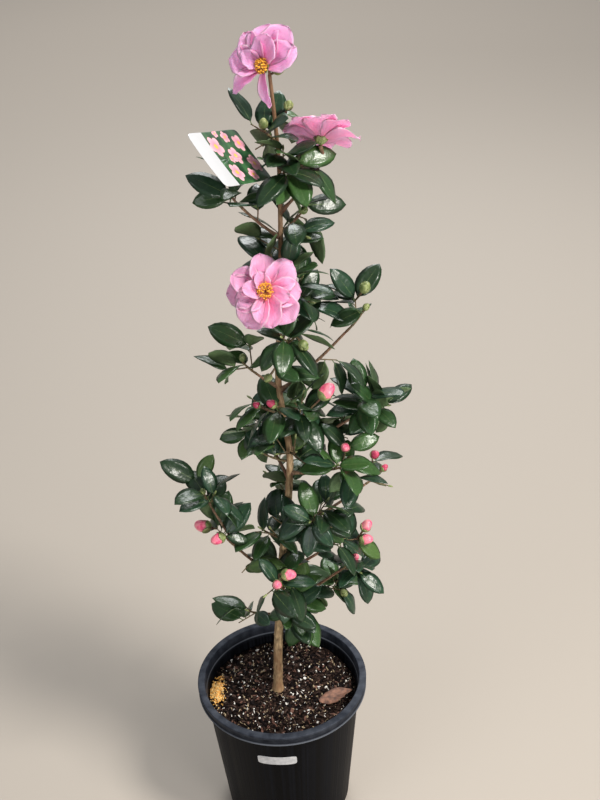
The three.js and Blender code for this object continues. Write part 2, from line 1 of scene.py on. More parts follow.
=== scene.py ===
# A young camellia shrub in flower, in the black nursery pot that it was grown in.
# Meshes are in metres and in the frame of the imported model, with the plant upright on the pot's underside.
# The plant's growth is worked out in millimetres, by the rule that its solids follow.

import bpy
import numpy as np
from mathutils import Matrix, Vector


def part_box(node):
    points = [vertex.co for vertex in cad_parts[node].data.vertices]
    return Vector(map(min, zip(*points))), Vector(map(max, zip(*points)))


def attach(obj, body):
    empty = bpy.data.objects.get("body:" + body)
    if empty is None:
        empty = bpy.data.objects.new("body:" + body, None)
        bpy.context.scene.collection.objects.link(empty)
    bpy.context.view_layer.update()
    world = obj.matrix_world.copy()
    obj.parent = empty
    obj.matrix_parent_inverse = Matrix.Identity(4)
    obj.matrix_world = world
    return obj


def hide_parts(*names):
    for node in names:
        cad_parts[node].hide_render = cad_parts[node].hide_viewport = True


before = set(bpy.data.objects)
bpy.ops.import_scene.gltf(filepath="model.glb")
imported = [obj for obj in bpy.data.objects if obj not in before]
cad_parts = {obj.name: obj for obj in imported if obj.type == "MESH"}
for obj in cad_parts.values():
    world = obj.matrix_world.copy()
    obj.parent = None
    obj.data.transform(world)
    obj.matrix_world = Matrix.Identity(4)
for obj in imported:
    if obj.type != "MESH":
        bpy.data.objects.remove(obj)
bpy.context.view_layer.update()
MM = 0.001


def unit(vector):
    """The vector 1 long in the same direction."""
    return vector / np.linalg.norm(vector)


def stand(name, thing, place, side, over, back):
    """An object that holds a camera or a lamp at a place, with its own axes along side, over and back."""
    holder = bpy.data.objects.new(name, thing)
    turn = Matrix((side, over, back)).transposed().to_4x4()
    holder.matrix_world = Matrix.Translation(place) @ turn
    bpy.context.scene.collection.objects.link(holder)
    return holder


# The photographer stands in front of the plant with a phone at eye level and looks down at it, with the
# phone tipped a little to one side. The lens is 54 mm, on a sensor whose longer side, 36 mm, is the
# picture's height.
CAMERA_PLACE = (0.0, -1.352, 1.525)
CAMERA_PITCH = np.radians(30.71)
CAMERA_YAW = np.radians(2.06)
CAMERA_ROLL = np.radians(-2.92)
CAMERA_LENS = 54.0
CAMERA_SENSOR = 36.0
CAMERA_REACH = 100.0

forward = np.array([
    np.sin(CAMERA_YAW) * np.cos(CAMERA_PITCH),
    np.cos(CAMERA_YAW) * np.cos(CAMERA_PITCH),
    -np.sin(CAMERA_PITCH),
])
level = unit(np.cross(forward, (0, 0, 1)))
upright = np.cross(level, forward)
right = np.cos(CAMERA_ROLL) * level + np.sin(CAMERA_ROLL) * upright
above = np.cos(CAMERA_ROLL) * upright - np.sin(CAMERA_ROLL) * level
view = bpy.data.cameras.new("camera")
view.lens = CAMERA_LENS
view.sensor_width = CAMERA_SENSOR
view.clip_end = CAMERA_REACH
bpy.context.scene.camera = stand("camera", view, CAMERA_PLACE, right, above, -forward)
bpy.context.scene.view_settings.view_transform = "Standard"


# A plain studio: one large soft lamp high on the right, a weaker one on the left, one behind to catch the
# gloss of the leaves, a small one below for the blooms' undersides and one for the far floor, which is a
# sheet of sandy paper. The air around gives an even, faintly cool light.
# A lamp: name, place, aim, size, watts and colour.
LAMPS = [
    ("key_lamp", (1.5, -1.1, 3.0), (0.0, 0.0, 0.62), 0.8, 107.0, (1.0, 0.96, 0.90)),
    ("fill_lamp", (-2.2, -2.0, 2.1), (0.0, 0.0, 0.62), 2.0, 24.0, (0.95, 0.98, 1.0)),
    ("rim_lamp", (0.6, 2.4, 2.6), (0.0, 0.0, 0.62), 1.6, 40.0, (0.96, 0.98, 1.0)),
    ("low_lamp", (0.5, -0.8, 0.55), (0.09, 0.0, 1.07), 0.4, 6.3, (1.0, 0.97, 0.95)),
    ("floor_lamp", (0.0, 5.0, 4.5), (0.0, 5.4, 0.0), 4.0, 170.0, (1.0, 0.99, 0.97)),
]
for name, place, aim, size, watts, colour in LAMPS:
    lamp = bpy.data.lights.new(name, "AREA")
    lamp.shape = "DISK"
    lamp.size = size
    lamp.energy = watts
    lamp.color = colour
    away = unit(np.array(place) - aim)
    side = unit(np.cross((1, 0, 0), away))
    stand(name, lamp, place, side, np.cross(away, side), away)

AIR_COLOUR = (0.94, 0.96, 1.0, 1)
AIR_STRENGTH = 0.28
world = bpy.data.worlds.new("studio_air")
world.use_nodes = True
air = world.node_tree.nodes["Background"].inputs
air["Color"].default_value = AIR_COLOUR
air["Strength"].default_value = AIR_STRENGTH
bpy.context.scene.world = world

FLOOR_REACH = 15.0
floor_mesh = bpy.data.meshes.new("floor")
floor_corners = np.array([(-1, -1, 0), (1, -1, 0), (1, 1, 0), (-1, 1, 0)]) * FLOOR_REACH
floor_mesh.from_pydata(floor_corners.tolist(), [], [(0, 1, 2, 3)])
floor = bpy.data.objects.new("floor", floor_mesh)
bpy.context.scene.collection.objects.link(floor)


def new_material(name, **values):
    """A material with one Principled shader. Each value goes to the socket of its name, _ for a space."""
    made = bpy.data.materials.new(name)
    made.use_nodes = True
    shader = made.node_tree.nodes["Principled BSDF"]
    for socket, value in values.items():
        shader.inputs[socket.replace("_", " ")].default_value = value
    return made


floor_paper = new_material("floor_paper", Base_Color=(0.43, 0.385, 0.335, 1), Roughness=0.9)
floor_mesh.materials.append(floor_paper)


# Pot: a grower's pot, moulded in one piece in black polypropylene, with a leaning wall, a deep band round its
# rim and a rolled lip. Use has left fine upright scuffs on the wall, and the lip is a lighter blue-grey,
# partly a bloom of dust and partly painted sheen.
pot_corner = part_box("pot")[1]
POT_HEIGHT = pot_corner[2]
RIM_RADIUS = pot_corner[0]
POT_SIDES = 240
POT_ROUNDING = 3.0 * MM
BAND_ROUNDING = 1.5 * MM
WALL = 2.2 * MM
BASE_RADIUS = 95.0 * MM
WALL_TOP_RADIUS = 116.5 * MM
WALL_TOP = 221.0 * MM
LIP_WIDTH = 10.5 * MM
POT_FLOOR = 4.0 * MM
BAND_FOOT = 225.0 * MM
BAND_FACE = RIM_RADIUS - 2.2 * MM
BEAD_HEIGHT = BAND_FOOT - 0.4 * MM
DUST_AND_SHEEN_DEPTH = 22.0 * MM


def rounded(corners, radius, steps=5):
    """A profile with each inner corner rounded: the corner gives way to a parabola that leaves one side and
    meets the next at the same distance from it, radius or two fifths of the shorter side."""
    corners = np.array(corners, float)
    before = corners[:-2] - corners[1:-1]
    after = corners[2:] - corners[1:-1]
    reach_before = np.linalg.norm(before, axis=1)
    reach_after = np.linalg.norm(after, axis=1)
    cut = np.minimum(radius, 0.4 * np.minimum(reach_before, reach_after))[:, None]
    start = corners[1:-1] + before / reach_before[:, None] * cut
    end = corners[1:-1] + after / reach_after[:, None] * cut
    share = np.linspace(0, 1, steps)[None, :, None]
    arcs = (1 - share) ** 2 * start[:, None]
    arcs = arcs + 2 * share * (1 - share) * corners[1:-1, None] + share**2 * end[:, None]
    return np.concatenate([corners[:1], arcs.reshape(-1, 2), corners[-1:]])


def whole_turn(sides):
    """The angles of sides points evenly round a circle, in radians."""
    return np.linspace(0, 2 * np.pi, sides, endpoint=False)


def turned_rings(profile, sides):
    """Rings of a surface of revolution: the point at radius r and height z becomes a circle of sides points,
    (r cos a, r sin a, z) for a from 0 to a whole turn."""
    angle = whole_turn(sides)
    radius, height = profile[:, :1], profile[:, 1:]
    return np.stack([radius * np.cos(angle), radius * np.sin(angle), height + 0 * angle], axis=-1)


def shell(name, rings, material):
    """One smooth mesh of closed tubes. rings is (tubes, rings along, points round, 3) in metres. Neighbouring
    rings are joined by quads, those of the second half round begun a corner later, so that both faces of a
    thin blade fold along the same diagonals. A zigzag of triangles, between each point and its mirror image,
    closes each end. The UV map runs round and along."""
    rings = np.asarray(rings, float)
    if rings.ndim == 3:
        rings = rings[None]
    tubes, along, around = rings.shape[:3]
    points = rings.reshape(-1, 3)
    number = np.arange(along * around).reshape(along, around)
    ahead = np.roll(number, -1, axis=1)
    quads = np.stack([number[:-1], ahead[:-1], ahead[1:], number[1:]], axis=-1).reshape(-1, 4)
    order = np.zeros(around, int)
    order[1::2] = np.arange(1, around // 2 + 1)
    order[2::2] = around - np.arange(1, (around + 1) // 2)
    zigzag = np.stack([order[:-2], order[1:-1], order[2:]], axis=-1)
    zigzag[1::2] = zigzag[1::2, ::-1]
    caps = np.concatenate([zigzag[:, ::-1], zigzag + (along - 1) * around])
    row, column = np.divmod(quads, around)
    column[:, 1:3] = column[:, [0, 3]] + 1
    quad_uvs = np.stack([column / around, row / (along - 1)], axis=-1)
    back = np.arange(len(quads)) % around >= around // 2
    quads[back] = np.roll(quads[back], -1, axis=1)
    quad_uvs[back] = np.roll(quad_uvs[back], -1, axis=1)
    cap_row, cap_column = np.divmod(caps, around)
    cap_uvs = np.stack([cap_column / around, cap_row / (along - 1)], axis=-1)
    corner = points[np.concatenate([quads[:, :3], quads[:, [0, 2, 3]], caps])]
    volume = np.einsum("ij,ij->i", corner[:, 0], np.cross(corner[:, 1], corner[:, 2])).sum()
    if volume < 0:
        quads, caps = quads[:, ::-1], caps[:, ::-1]
        quad_uvs, cap_uvs = quad_uvs[:, ::-1], cap_uvs[:, ::-1]
    start = (np.arange(tubes) * along * around)[:, None, None]
    corners = np.concatenate([(quads + start).ravel(), (caps + start).ravel()])
    uvs = np.concatenate([np.tile(part.reshape(-1, 2), (tubes, 1)) for part in (quad_uvs, cap_uvs)])
    quad_starts = 4 * np.arange(tubes * len(quads))
    cap_starts = 4 * tubes * len(quads) + 3 * np.arange(tubes * len(caps))
    starts = np.concatenate([quad_starts, cap_starts])
    mesh = bpy.data.meshes.new(name)
    mesh.vertices.add(len(points))
    mesh.vertices.foreach_set("co", points.ravel())
    mesh.loops.add(len(corners))
    mesh.loops.foreach_set("vertex_index", corners.astype(np.int32))
    mesh.polygons.add(len(starts))
    mesh.polygons.foreach_set("loop_start", starts.astype(np.int32))
    mesh.polygons.foreach_set("use_smooth", np.ones(len(starts), bool))
    mesh.uv_layers.new(name="UVMap").data.foreach_set("uv", uvs.ravel())
    mesh.update(calc_edges=True)
    mesh.validate()
    mesh.materials.append(material)
    piece = bpy.data.objects.new(name, mesh)
    bpy.context.scene.collection.objects.link(piece)
    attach(piece, "root")
    return piece


def new_node(place, kind, links=(), **values):
    """A node in a material or a node group. A value goes to the socket of its name, _ for a space, or to the
    node's own setting of that name. A link is (socket of the new node, what it gets), an output socket or a
    plain value."""
    tree = getattr(place, "node_tree", place)
    made = tree.nodes.new(kind)
    for key, value in values.items():
        if hasattr(made, key):
            setattr(made, key, value)
        else:
            made.inputs[key.replace("_", " ")].default_value = value
    for socket, source in links:
        if hasattr(source, "links"):
            tree.links.new(source, made.inputs[socket])
        else:
            made.inputs[socket].default_value = source
    return made


def computed(place, operation, *values):
    """The output of a Math node on values, each a socket or a plain number."""
    return new_node(place, "ShaderNodeMath", enumerate(values), operation=operation).outputs[0]


def scaled(place, value, low, high, to_low=0.0, to_high=1.0):
    """How far a value is from low to high, as a number from to_low to to_high, and never beyond them."""
    links = [("Value", value), ("From Min", low), ("From Max", high), ("To Min", to_low), ("To Max", to_high)]
    return new_node(place, "ShaderNodeMapRange", links).outputs["Result"]


# A Mix node has a set of sockets for each kind of data, so its colours go by number.
MIX_FACTOR, MIX_FIRST, MIX_SECOND, MIX_COLOUR = 0, 6, 7, 2


def blended(place, factor, first, second):
    """A colour between first and second, by a factor from 0 to 1. Each is a socket or a plain colour."""
    links = [(MIX_FACTOR, factor), (MIX_FIRST, first), (MIX_SECOND, second)]
    return new_node(place, "ShaderNodeMix", links, data_type="RGBA").outputs[MIX_COLOUR]


def feed(material, socket, source):
    """Links an output to a socket of the material's Principled shader."""
    material.node_tree.links.new(source, material.node_tree.nodes["Principled BSDF"].inputs[socket])


# Mottling, shared by plastic, bark, leaf and card: noise stretched along any axis, turned into a blend of two
# colours and a height.
mottling = bpy.data.node_groups.new("mottling", "ShaderNodeTree")
for socket, kind, value in [
    ("Vector", "NodeSocketVector", (0, 0, 0)),
    ("Stretch", "NodeSocketVector", (1, 1, 1)),
    ("Scale", "NodeSocketFloat", 50.0),
    ("Detail", "NodeSocketFloat", 4.0),
    ("Low", "NodeSocketFloat", 0.35),
    ("High", "NodeSocketFloat", 0.65),
    ("Dark", "NodeSocketColor", (0, 0, 0, 1)),
    ("Light", "NodeSocketColor", (1, 1, 1, 1)),
]:
    mottling.interface.new_socket(socket, in_out="INPUT", socket_type=kind).default_value = value
mottling.interface.new_socket("Colour", in_out="OUTPUT", socket_type="NodeSocketColor")
mottling.interface.new_socket("Height", in_out="OUTPUT", socket_type="NodeSocketFloat")
given = mottling.nodes.new("NodeGroupInput").outputs
stretched = new_node(
    mottling, "ShaderNodeVectorMath", [(0, given["Vector"]), (1, given["Stretch"])], operation="MULTIPLY",
)
noise = new_node(mottling, "ShaderNodeTexNoise", [
    ("Vector", stretched.outputs[0]), ("Scale", given["Scale"]), ("Detail", given["Detail"]),
])
noise_height = scaled(mottling, noise.outputs["Fac"], given["Low"], given["High"])
noise_colour = blended(mottling, noise_height, given["Dark"], given["Light"])
new_node(mottling, "NodeGroupOutput", [("Colour", noise_colour), ("Height", noise_height)])


def mottle(material, vector, **values):
    """A mottling in a material, on the coordinates of vector, with its own values."""
    return new_node(material, "ShaderNodeGroup", [("Vector", vector), *values.items()], node_tree=mottling)


def coordinates(material, kind="Object"):
    """The material's coordinates of a kind, Object or UV."""
    return new_node(material, "ShaderNodeTexCoord").outputs[kind]


def add_bump(material, height, distance, strength=1.0):
    """Raises the surface by a height from 0 to 1 times distance, in metres."""
    bump = new_node(material, "ShaderNodeBump", [("Height", height)], Distance=distance, Strength=strength)
    feed(material, "Normal", bump.outputs["Normal"])


def mottled_material(name, dark, light, roughness, scale, relief=0.0, specular=0.5, **values):
    """A material in two tones, mottled in object coordinates, whose light tone is raised by relief, in
    metres. The values are the mottling's own."""
    made = new_material(name, Roughness=roughness, Specular_IOR_Level=specular)
    tint = mottle(made, coordinates(made), Scale=scale, Dark=dark, Light=light, **values)
    feed(made, "Base Color", tint.outputs["Colour"])
    if relief:
        add_bump(made, tint.outputs["Height"], relief)
    return made


pot_plastic = new_material("pot_plastic", Specular_IOR_Level=0.05)
pot_scuffs = mottle(
    pot_plastic, coordinates(pot_plastic, "UV"), Stretch=(260, 5, 1), Scale=1.0, Detail=6.0, Low=0.40,
    High=0.72, Dark=(0.0010, 0.0012, 0.0019, 1), Light=(0.0085, 0.0095, 0.0130, 1),
)
# Dust and painted sheen: the top of the rim is lighter and bluer, partly dust and partly a painted sheen of
# light on the lip.
pot_dust_and_sheen = mottle(
    pot_plastic, coordinates(pot_plastic), Scale=70.0, Detail=7.0, Low=0.30, High=0.75,
    Dark=(0.014, 0.017, 0.025, 1), Light=(0.060, 0.068, 0.086, 1),
)
pot_place = new_node(pot_plastic, "ShaderNodeSeparateXYZ", [("Vector", coordinates(pot_plastic))])
pot_level = pot_place.outputs["Z"]
on_rim = scaled(pot_plastic, pot_level, POT_HEIGHT - DUST_AND_SHEEN_DEPTH, POT_HEIGHT - 1.0 * MM)
pot_colour = blended(pot_plastic, on_rim, pot_scuffs.outputs["Colour"], pot_dust_and_sheen.outputs["Colour"])
# Painted highlight: a thin, lighter blue-grey line along the bead at the foot of the band, where light
# catches its edge.
off_bead = computed(pot_plastic, "ABSOLUTE", computed(pot_plastic, "SUBTRACT", pot_level, BEAD_HEIGHT))
bead_painted_highlight = scaled(pot_plastic, off_bead, 1.6 * MM, 0.7 * MM)
feed(pot_plastic, "Base Color", blended(pot_plastic, bead_painted_highlight, pot_colour, (0.105, 0.115, 0.135, 1)))
feed(pot_plastic, "Roughness", scaled(pot_plastic, pot_scuffs.outputs["Height"], 0.0, 1.0, 0.44, 0.64))
add_bump(pot_plastic, pot_scuffs.outputs["Height"], 0.0002, 0.5)

lip_inside = RIM_RADIUS - LIP_WIDTH
wall_profile = rounded([
    (0.5 * MM, 0.0), (BASE_RADIUS, 0.0), (WALL_TOP_RADIUS, WALL_TOP),
    (RIM_RADIUS - 5 * MM, BAND_FOOT - 2 * MM),
], POT_ROUNDING)
band_profile = rounded([
    (RIM_RADIUS - 3 * MM, BAND_FOOT - 1.8 * MM), (RIM_RADIUS - 0.4 * MM, BAND_FOOT - 1.4 * MM),
    (RIM_RADIUS - 0.4 * MM, BAND_FOOT + 0.4 * MM), (BAND_FACE, BAND_FOOT + 1.0 * MM),
    (BAND_FACE + 0.6 * MM, POT_HEIGHT - 5.5 * MM), (RIM_RADIUS, POT_HEIGHT - 4.0 * MM),
    (RIM_RADIUS, POT_HEIGHT), (lip_inside, POT_HEIGHT), (lip_inside, POT_HEIGHT - 5 * MM),
], BAND_ROUNDING)
inside_profile = rounded([
    (lip_inside - 0.5 * MM, POT_HEIGHT - 7 * MM), (WALL_TOP_RADIUS - WALL, WALL_TOP),
    (BASE_RADIUS - WALL, POT_FLOOR), (0.5 * MM, POT_FLOOR),
], POT_ROUNDING)
pot_profile = np.concatenate([wall_profile, band_profile, inside_profile])
pot = shell("pot_moulding", turned_rings(pot_profile, POT_SIDES), pot_plastic)
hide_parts("pot")


# Sticker: a bare white film label, stuck on the wall and a little worn at its corners.
STICKER_WIDTH = 58.0 * MM
STICKER_HEIGHT = 17.0 * MM
STICKER_MIDDLE = 178.0 * MM
STICKER_TURN = np.radians(262.0)
STICKER_THICK = 0.35 * MM
LABEL_SIDES = 96
LABEL_RINGS = 14
LABEL_POWER = 8
LABEL_FOOT = 0.1


def wall_radius(height):
    """Outside radius of the pot's wall at a height: a straight line from the base to the band."""
    return BASE_RADIUS + (WALL_TOP_RADIUS - BASE_RADIUS) * height / WALL_TOP


def squared_circle(sides, power):
    """Points of a circle drawn out to a square with round corners, 1 from its middle, as places across and
    up: at an angle a, their distance is (|cos a|^power + |sin a|^power)^(-1 / power)."""
    angle = whole_turn(sides)
    reach = (np.abs(np.cos(angle)) ** power + np.abs(np.sin(angle)) ** power) ** (-1 / power)
    return reach * np.cos(angle), reach * np.sin(angle)


edge_across, edge_up = squared_circle(LABEL_SIDES, LABEL_POWER)
label_steps = np.linspace(0.02, 0.98, LABEL_RINGS)
label_size = np.concatenate([label_steps, [1.0, 1.0], label_steps[::-1]])
label_rise = np.concatenate([np.ones(LABEL_RINGS), [0.8, 0.3], np.full(LABEL_RINGS, LABEL_FOOT)])
label_across = np.outer(label_size, edge_across)
label_up = np.outer(label_size, edge_up)
label_out = label_rise[:, None] * STICKER_THICK + 0 * label_up
label_height = STICKER_MIDDLE + 0.5 * STICKER_HEIGHT * label_up
label_radius = wall_radius(label_height) + label_out
label_angle = STICKER_TURN + 0.5 * STICKER_WIDTH * label_across / wall_radius(STICKER_MIDDLE)
label_rings = np.stack([
    label_radius * np.cos(label_angle), label_radius * np.sin(label_angle), label_height,
], axis=-1)
label_film = mottled_material(
    "label_film", (0.42, 0.43, 0.45, 1), (0.66, 0.66, 0.67, 1), roughness=0.45, scale=160.0, Detail=5.0,
    Low=0.25, High=0.7,
)
sticker = shell("pot_label", label_rings, label_film)
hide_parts("pot_sticker")


# Potting mix: composted bark, dark and damp, heaped level with a low mound round the stem. The bed is one
# rough surface, near black, partly the damp bark's own colour and partly painted shade between the crumbs,
# and loose crumbs of bark, white grains of perlite and a spill of feed lie on it.
MIX_TOP = 212.0
MIX_REACH = 112.6
BED_RINGS = 90
BED_SIDES = 260
BED_HOLE = 0.4
BED_DEPTH = 60.0
MOUND_RADII = (0, 30, 55, 92, 113)
MOUND_LEVELS = (0, 0, 1, -2, -6)


def waves(x, y, length, seed, count=9):
    """A rough height from -1 to 1 at x, y: the mean of count sine waves about length long, in seeded ways."""
    seeded = np.random.default_rng(seed)
    turn = seeded.uniform(0, 2 * np.pi, count)
    pace = 2 * np.pi / (length * seeded.uniform(0.7, 1.5, count))
    start = seeded.uniform(0, 2 * np.pi, count)
    across = x[..., None] * np.cos(turn) + y[..., None] * np.sin(turn)
    return np.sin(across * pace + start).mean(axis=-1) * np.sqrt(count) / 2


def bed_height(x, y):
    """Height of the bed at x, y in mm: the solid's turned profile and three sizes of waves on it."""
    radius = np.hypot(x, y)
    level = np.interp(radius, MOUND_RADII, MOUND_LEVELS)
    rough = 1.6 * waves(x, y, 38, 1) + 1.2 * waves(x, y, 13, 2) + 0.9 * waves(x, y, 5.5, 3)
    return MIX_TOP + level + rough * np.clip((radius - 4) / 10, 0.2, 1) - 0.4


bed_radius = np.concatenate([[BED_HOLE, MIX_REACH - 6], np.linspace(MIX_REACH, BED_HOLE, BED_RINGS)])
bed_angle = whole_turn(BED_SIDES)
bed_x = np.outer(bed_radius, np.cos(bed_angle))
bed_y = np.outer(bed_radius, np.sin(bed_angle))
bed_z = bed_height(bed_x, bed_y)
bed_z[:2] = MIX_TOP - BED_DEPTH
# Painted shade: the bed's near-black tones are partly damp bark and partly the shade between the crumbs on
# it.
damp_bark_and_shade = mottled_material(
    "damp_bark_and_shade", (0.0018, 0.0010, 0.0010, 1), (0.040, 0.024, 0.018, 1), roughness=0.85, scale=210.0,
    relief=0.0014, specular=0.05, Detail=8.0, Low=0.36, High=0.66,
)
bed = shell("potting_bed", np.stack([bed_x, bed_y, bed_z], axis=-1) * MM, damp_bark_and_shade)
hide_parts("potting_mix")


CRUMB_REACH = MIX_REACH - 3.0
STEM_FOOT = (-7.0, 0.0)
STEM_ROOM = 10.0


def scattered(count, seed):
    """Places on the bed: count points evenly spread over it, those too near the stem's foot pushed out from
    it. The radius is the square root of an even number, so none crowd."""
    seeded = np.random.default_rng(seed)
    radius = CRUMB_REACH * np.sqrt(seeded.uniform(0, 1, count))
    turn = seeded.uniform(0, 2 * np.pi, count)
    place = np.stack([radius * np.cos(turn), radius * np.sin(turn)], axis=-1)
    apart = np.linalg.norm(place - STEM_FOOT, axis=1, keepdims=True)
    pushed = STEM_FOOT + (place - STEM_FOOT) / np.maximum(apart, 0.1) * STEM_ROOM
    return np.where(apart < STEM_ROOM, pushed, place)


def rotations(axis, angles):
    """Matrices that turn by each of the angles, in radians, about axis 0, 1 or 2."""
    first, second = (axis + 1) % 3, (axis + 2) % 3
    made = np.zeros((len(angles), 3, 3))
    made[:, axis, axis] = 1
    made[:, first, first] = np.cos(angles)
    made[:, second, second] = np.cos(angles)
    made[:, first, second] = -np.sin(angles)
    made[:, second, first] = np.sin(angles)
    return made


def crumbs(places, sizes, lift, seed, belly, tilt, sides):
    """Small lumps lying on the bed: each is a short tube of rings, one for each share of its half width in
    belly, every point moved in or out by chance, then turned level at random and tipped by up to tilt."""
    seeded = np.random.default_rng(seed)
    count, rings = len(places), len(belly)
    angle = whole_turn(sides)
    along = np.linspace(-0.5, 0.5, rings)[None, :, None] * np.ones((count, 1, sides))
    girth = np.array(belly)[None, :, None] * seeded.uniform(0.72, 1.2, (count, rings, sides))
    shape = np.stack([
        along * seeded.uniform(0.85, 1.1, (count, rings, sides)), 0.5 * girth * np.cos(angle),
        0.5 * girth * np.sin(angle),
    ], axis=-1) * sizes[:, None, None, :]
    turn = seeded.uniform(0, 2 * np.pi, count)
    tip = seeded.uniform(-tilt, tilt, count)
    roll = seeded.uniform(-tilt, tilt, count)
    posed = rotations(2, turn) @ rotations(1, tip) @ rotations(0, roll)
    shape = np.einsum("nij,nrcj->nrci", posed, shape)
    seat = np.stack([places[:, 0], places[:, 1], bed_height(places[:, 0], places[:, 1]) + lift], axis=-1)
    return (shape + seat[:, None, None, :]) * MM


def sized(count, seed, limits):
    """Sizes of count crumbs, each of three drawn between its (low, high), with small ones the commoner."""
    low, high = np.array(limits).T
    return low + (high - low) * np.random.default_rng(seed).uniform(0, 1, (count, 3)) ** 2


def shaded(colour, share):
    """A colour with its red, green and blue times share."""
    return tuple(share * part for part in colour[:3]) + (1,)


# Loose bark: chips of shredded bark, from crumbs to pieces 15 mm long, in four tones from damp black to
# weathered tan. Each is a rough tube of three rings, pressed flat and turned and tipped by chance.
CHIP_BELLY = (0.55, 1.0, 0.6)
CHIP_LIFT = 0.7
CHIP_TILT = 0.8
CHIP_SIDES = 5
# A kind of chip: name, how many, longest in mm, dark and light tone.
CHIP_KINDS = [
    ("bark_chips_black", 1400, 15.0, (0.0016, 0.0010, 0.0010, 1), (0.012, 0.008, 0.008, 1)),
    ("bark_chips_brown", 700, 13.0, (0.022, 0.013, 0.011, 1), (0.095, 0.060, 0.048, 1)),
    ("bark_chips_red", 260, 15.0, (0.075, 0.034, 0.026, 1), (0.210, 0.110, 0.082, 1)),
    ("bark_chips_tan", 400, 8.0, (0.190, 0.140, 0.085, 1), (0.560, 0.440, 0.290, 1)),
]
for kind, (name, count, longest, dark, light) in enumerate(CHIP_KINDS):
    chip_bark = mottled_material(
        name, dark, light, roughness=0.75, scale=420.0, relief=0.0004, specular=0.08, Low=0.3, High=0.7,
    )
    sizes = sized(count, 20 + kind, [(1.6, longest), (1.2, 0.5 * longest), (0.8, 4.2)])
    places = scattered(count, 30 + kind)
    lumps = crumbs(places, sizes, CHIP_LIFT, 40 + kind, CHIP_BELLY, CHIP_TILT, CHIP_SIDES)
    chips = shell(name, lumps, chip_bark)

# Perlite: white grains of foamed volcanic glass, mixed in with the bark and strewn thinly over the bed.
perlite_foam = new_material("perlite_foam", Base_Color=(0.78, 0.75, 0.70, 1), Roughness=0.85)
PERLITE_GRAINS = 270
PERLITE_SIZES = [(0.8, 6.2), (0.8, 5.4), (0.8, 4.4)]
PERLITE_BELLY = (0.45, 1.0, 0.95, 0.4)
PERLITE_LIFT = 1.2
PERLITE_TILT = 1.5
PERLITE_SIDES = 6
perlite_places = scattered(PERLITE_GRAINS, 51)
perlite_sizes = sized(PERLITE_GRAINS, 52, PERLITE_SIZES)
perlite_lumps = crumbs(
    perlite_places, perlite_sizes, PERLITE_LIFT, 53, PERLITE_BELLY, PERLITE_TILT, PERLITE_SIDES,
)
perlite = shell("perlite_grains", perlite_lumps, perlite_foam)

# Feed: a spill of slow-release plant feed, round grains with a shiny coat, heaped on the left by the rim.
# Their places are drawn from a bell curve across a span of way round and one of radius.
FEED_TURN = (160.0, 191.0)
FEED_RADIUS = (91.0, 111.0)
FEED_HEAP = 4.5
FEED_SIZES = [(1.5, 3.4), (1.5, 3.2), (1.4, 3.0)]
FEED_BELLY = (0.5, 0.94, 1.0, 0.9, 0.45)
FEED_TILT = 3.0
FEED_SIDES = 7
# A kind of grain: name, how many, colour and seed.
FEED_KINDS = [
    ("feed_grains_gold", 860, (1.0, 0.52, 0.11, 1), 61),
    ("feed_grains_straw", 420, (1.0, 0.76, 0.34, 1), 64),
    ("feed_grains_brown", 120, (0.56, 0.29, 0.080, 1), 67),
]
for name, count, colour, seed in FEED_KINDS:
    feed_coat = mottled_material(name, shaded(colour, 0.7), colour, roughness=0.55, scale=300.0)
    seeded = np.random.default_rng(seed)
    off_turn = np.clip(seeded.normal(0, 0.42, count), -1.25, 1.25)
    off_radius = np.clip(seeded.normal(0.08, 0.45, count), -1.6, 1)
    turn = np.radians(np.mean(FEED_TURN) + off_turn * np.ptp(FEED_TURN) / 2)
    radius = np.mean(FEED_RADIUS) + off_radius * np.ptp(FEED_RADIUS) / 2
    grain_places = np.stack([radius * np.cos(turn), radius * np.sin(turn)], axis=-1)
    grain_sizes = sized(count, seed + 1, FEED_SIZES)
    heap = FEED_HEAP * np.clip(1 - np.hypot(off_turn, off_radius), 0, 1)
    heap = heap * seeded.uniform(0.1, 1.0, count) + 1.0
    grain_lumps = crumbs(grain_places, grain_sizes, heap, seed + 2, FEED_BELLY, FEED_TILT, FEED_SIDES)
    grains = shell(name, grain_lumps, feed_coat)


# Dead leaf: one old leaf has dropped onto the mix, where it has dried brown and curled at its edges.
UP = np.array([0.0, 0.0, 1.0])


def heading(turn, rise):
    """The direction turn degrees round from the right and rise degrees above level."""
    turn, rise = np.radians(turn), np.radians(rise)
    return np.array([np.cos(rise) * np.cos(turn), np.cos(rise) * np.sin(turn), np.sin(rise)])


def loop_across(steps):
    """A flat closed loop round a blade: steps across its upper face and back below. Gives the place across,
    from -1 to 1, and the face, 1 above, -1 below and 0 at both margins."""
    across = np.linspace(-1, 1, steps + 1)
    face = np.ones(steps - 1)
    return np.concatenate([across, across[-2:0:-1]]), np.concatenate([[0], face, [0], -face])


def blade_points(blades, share, across, lift):
    """Points of blades, in mm: share of the length from the root, across to the side and lift above. A blade
    sets off along its way and bends evenly from its face through arch: forward is length sin(b) / arch and
    down is length (1 - cos(b)) / arch, with b = arch share. It also turns round its own line by twist."""
    way, face, root = (np.atleast_2d(blades[key])[:, None, None, :] for key in ("way", "face", "root"))
    length, arch, twist = (np.atleast_1d(blades[key])[:, None, None] for key in ("length", "arch", "twist"))
    bend = arch * share
    turn = twist * share
    across, lift = across * np.cos(turn) - lift * np.sin(turn), across * np.sin(turn) + lift * np.cos(turn)
    forward, down = length * np.sin(bend) / arch, length * (1 - np.cos(bend)) / arch
    facing = face * np.cos(bend)[..., None] + way * np.sin(bend)[..., None]
    side = np.cross(way, face)
    middle = root + way * forward[..., None] - face * down[..., None]
    return middle + side * across[..., None] + facing * lift[..., None]


def new_blade(root, way, face, length, arch, twist=0.0):
    """A blade for blade_points, or a part of a list of them."""
    root = np.array(root, float)
    return {"root": root, "way": way, "face": face, "length": float(length), "arch": arch, "twist": twist}


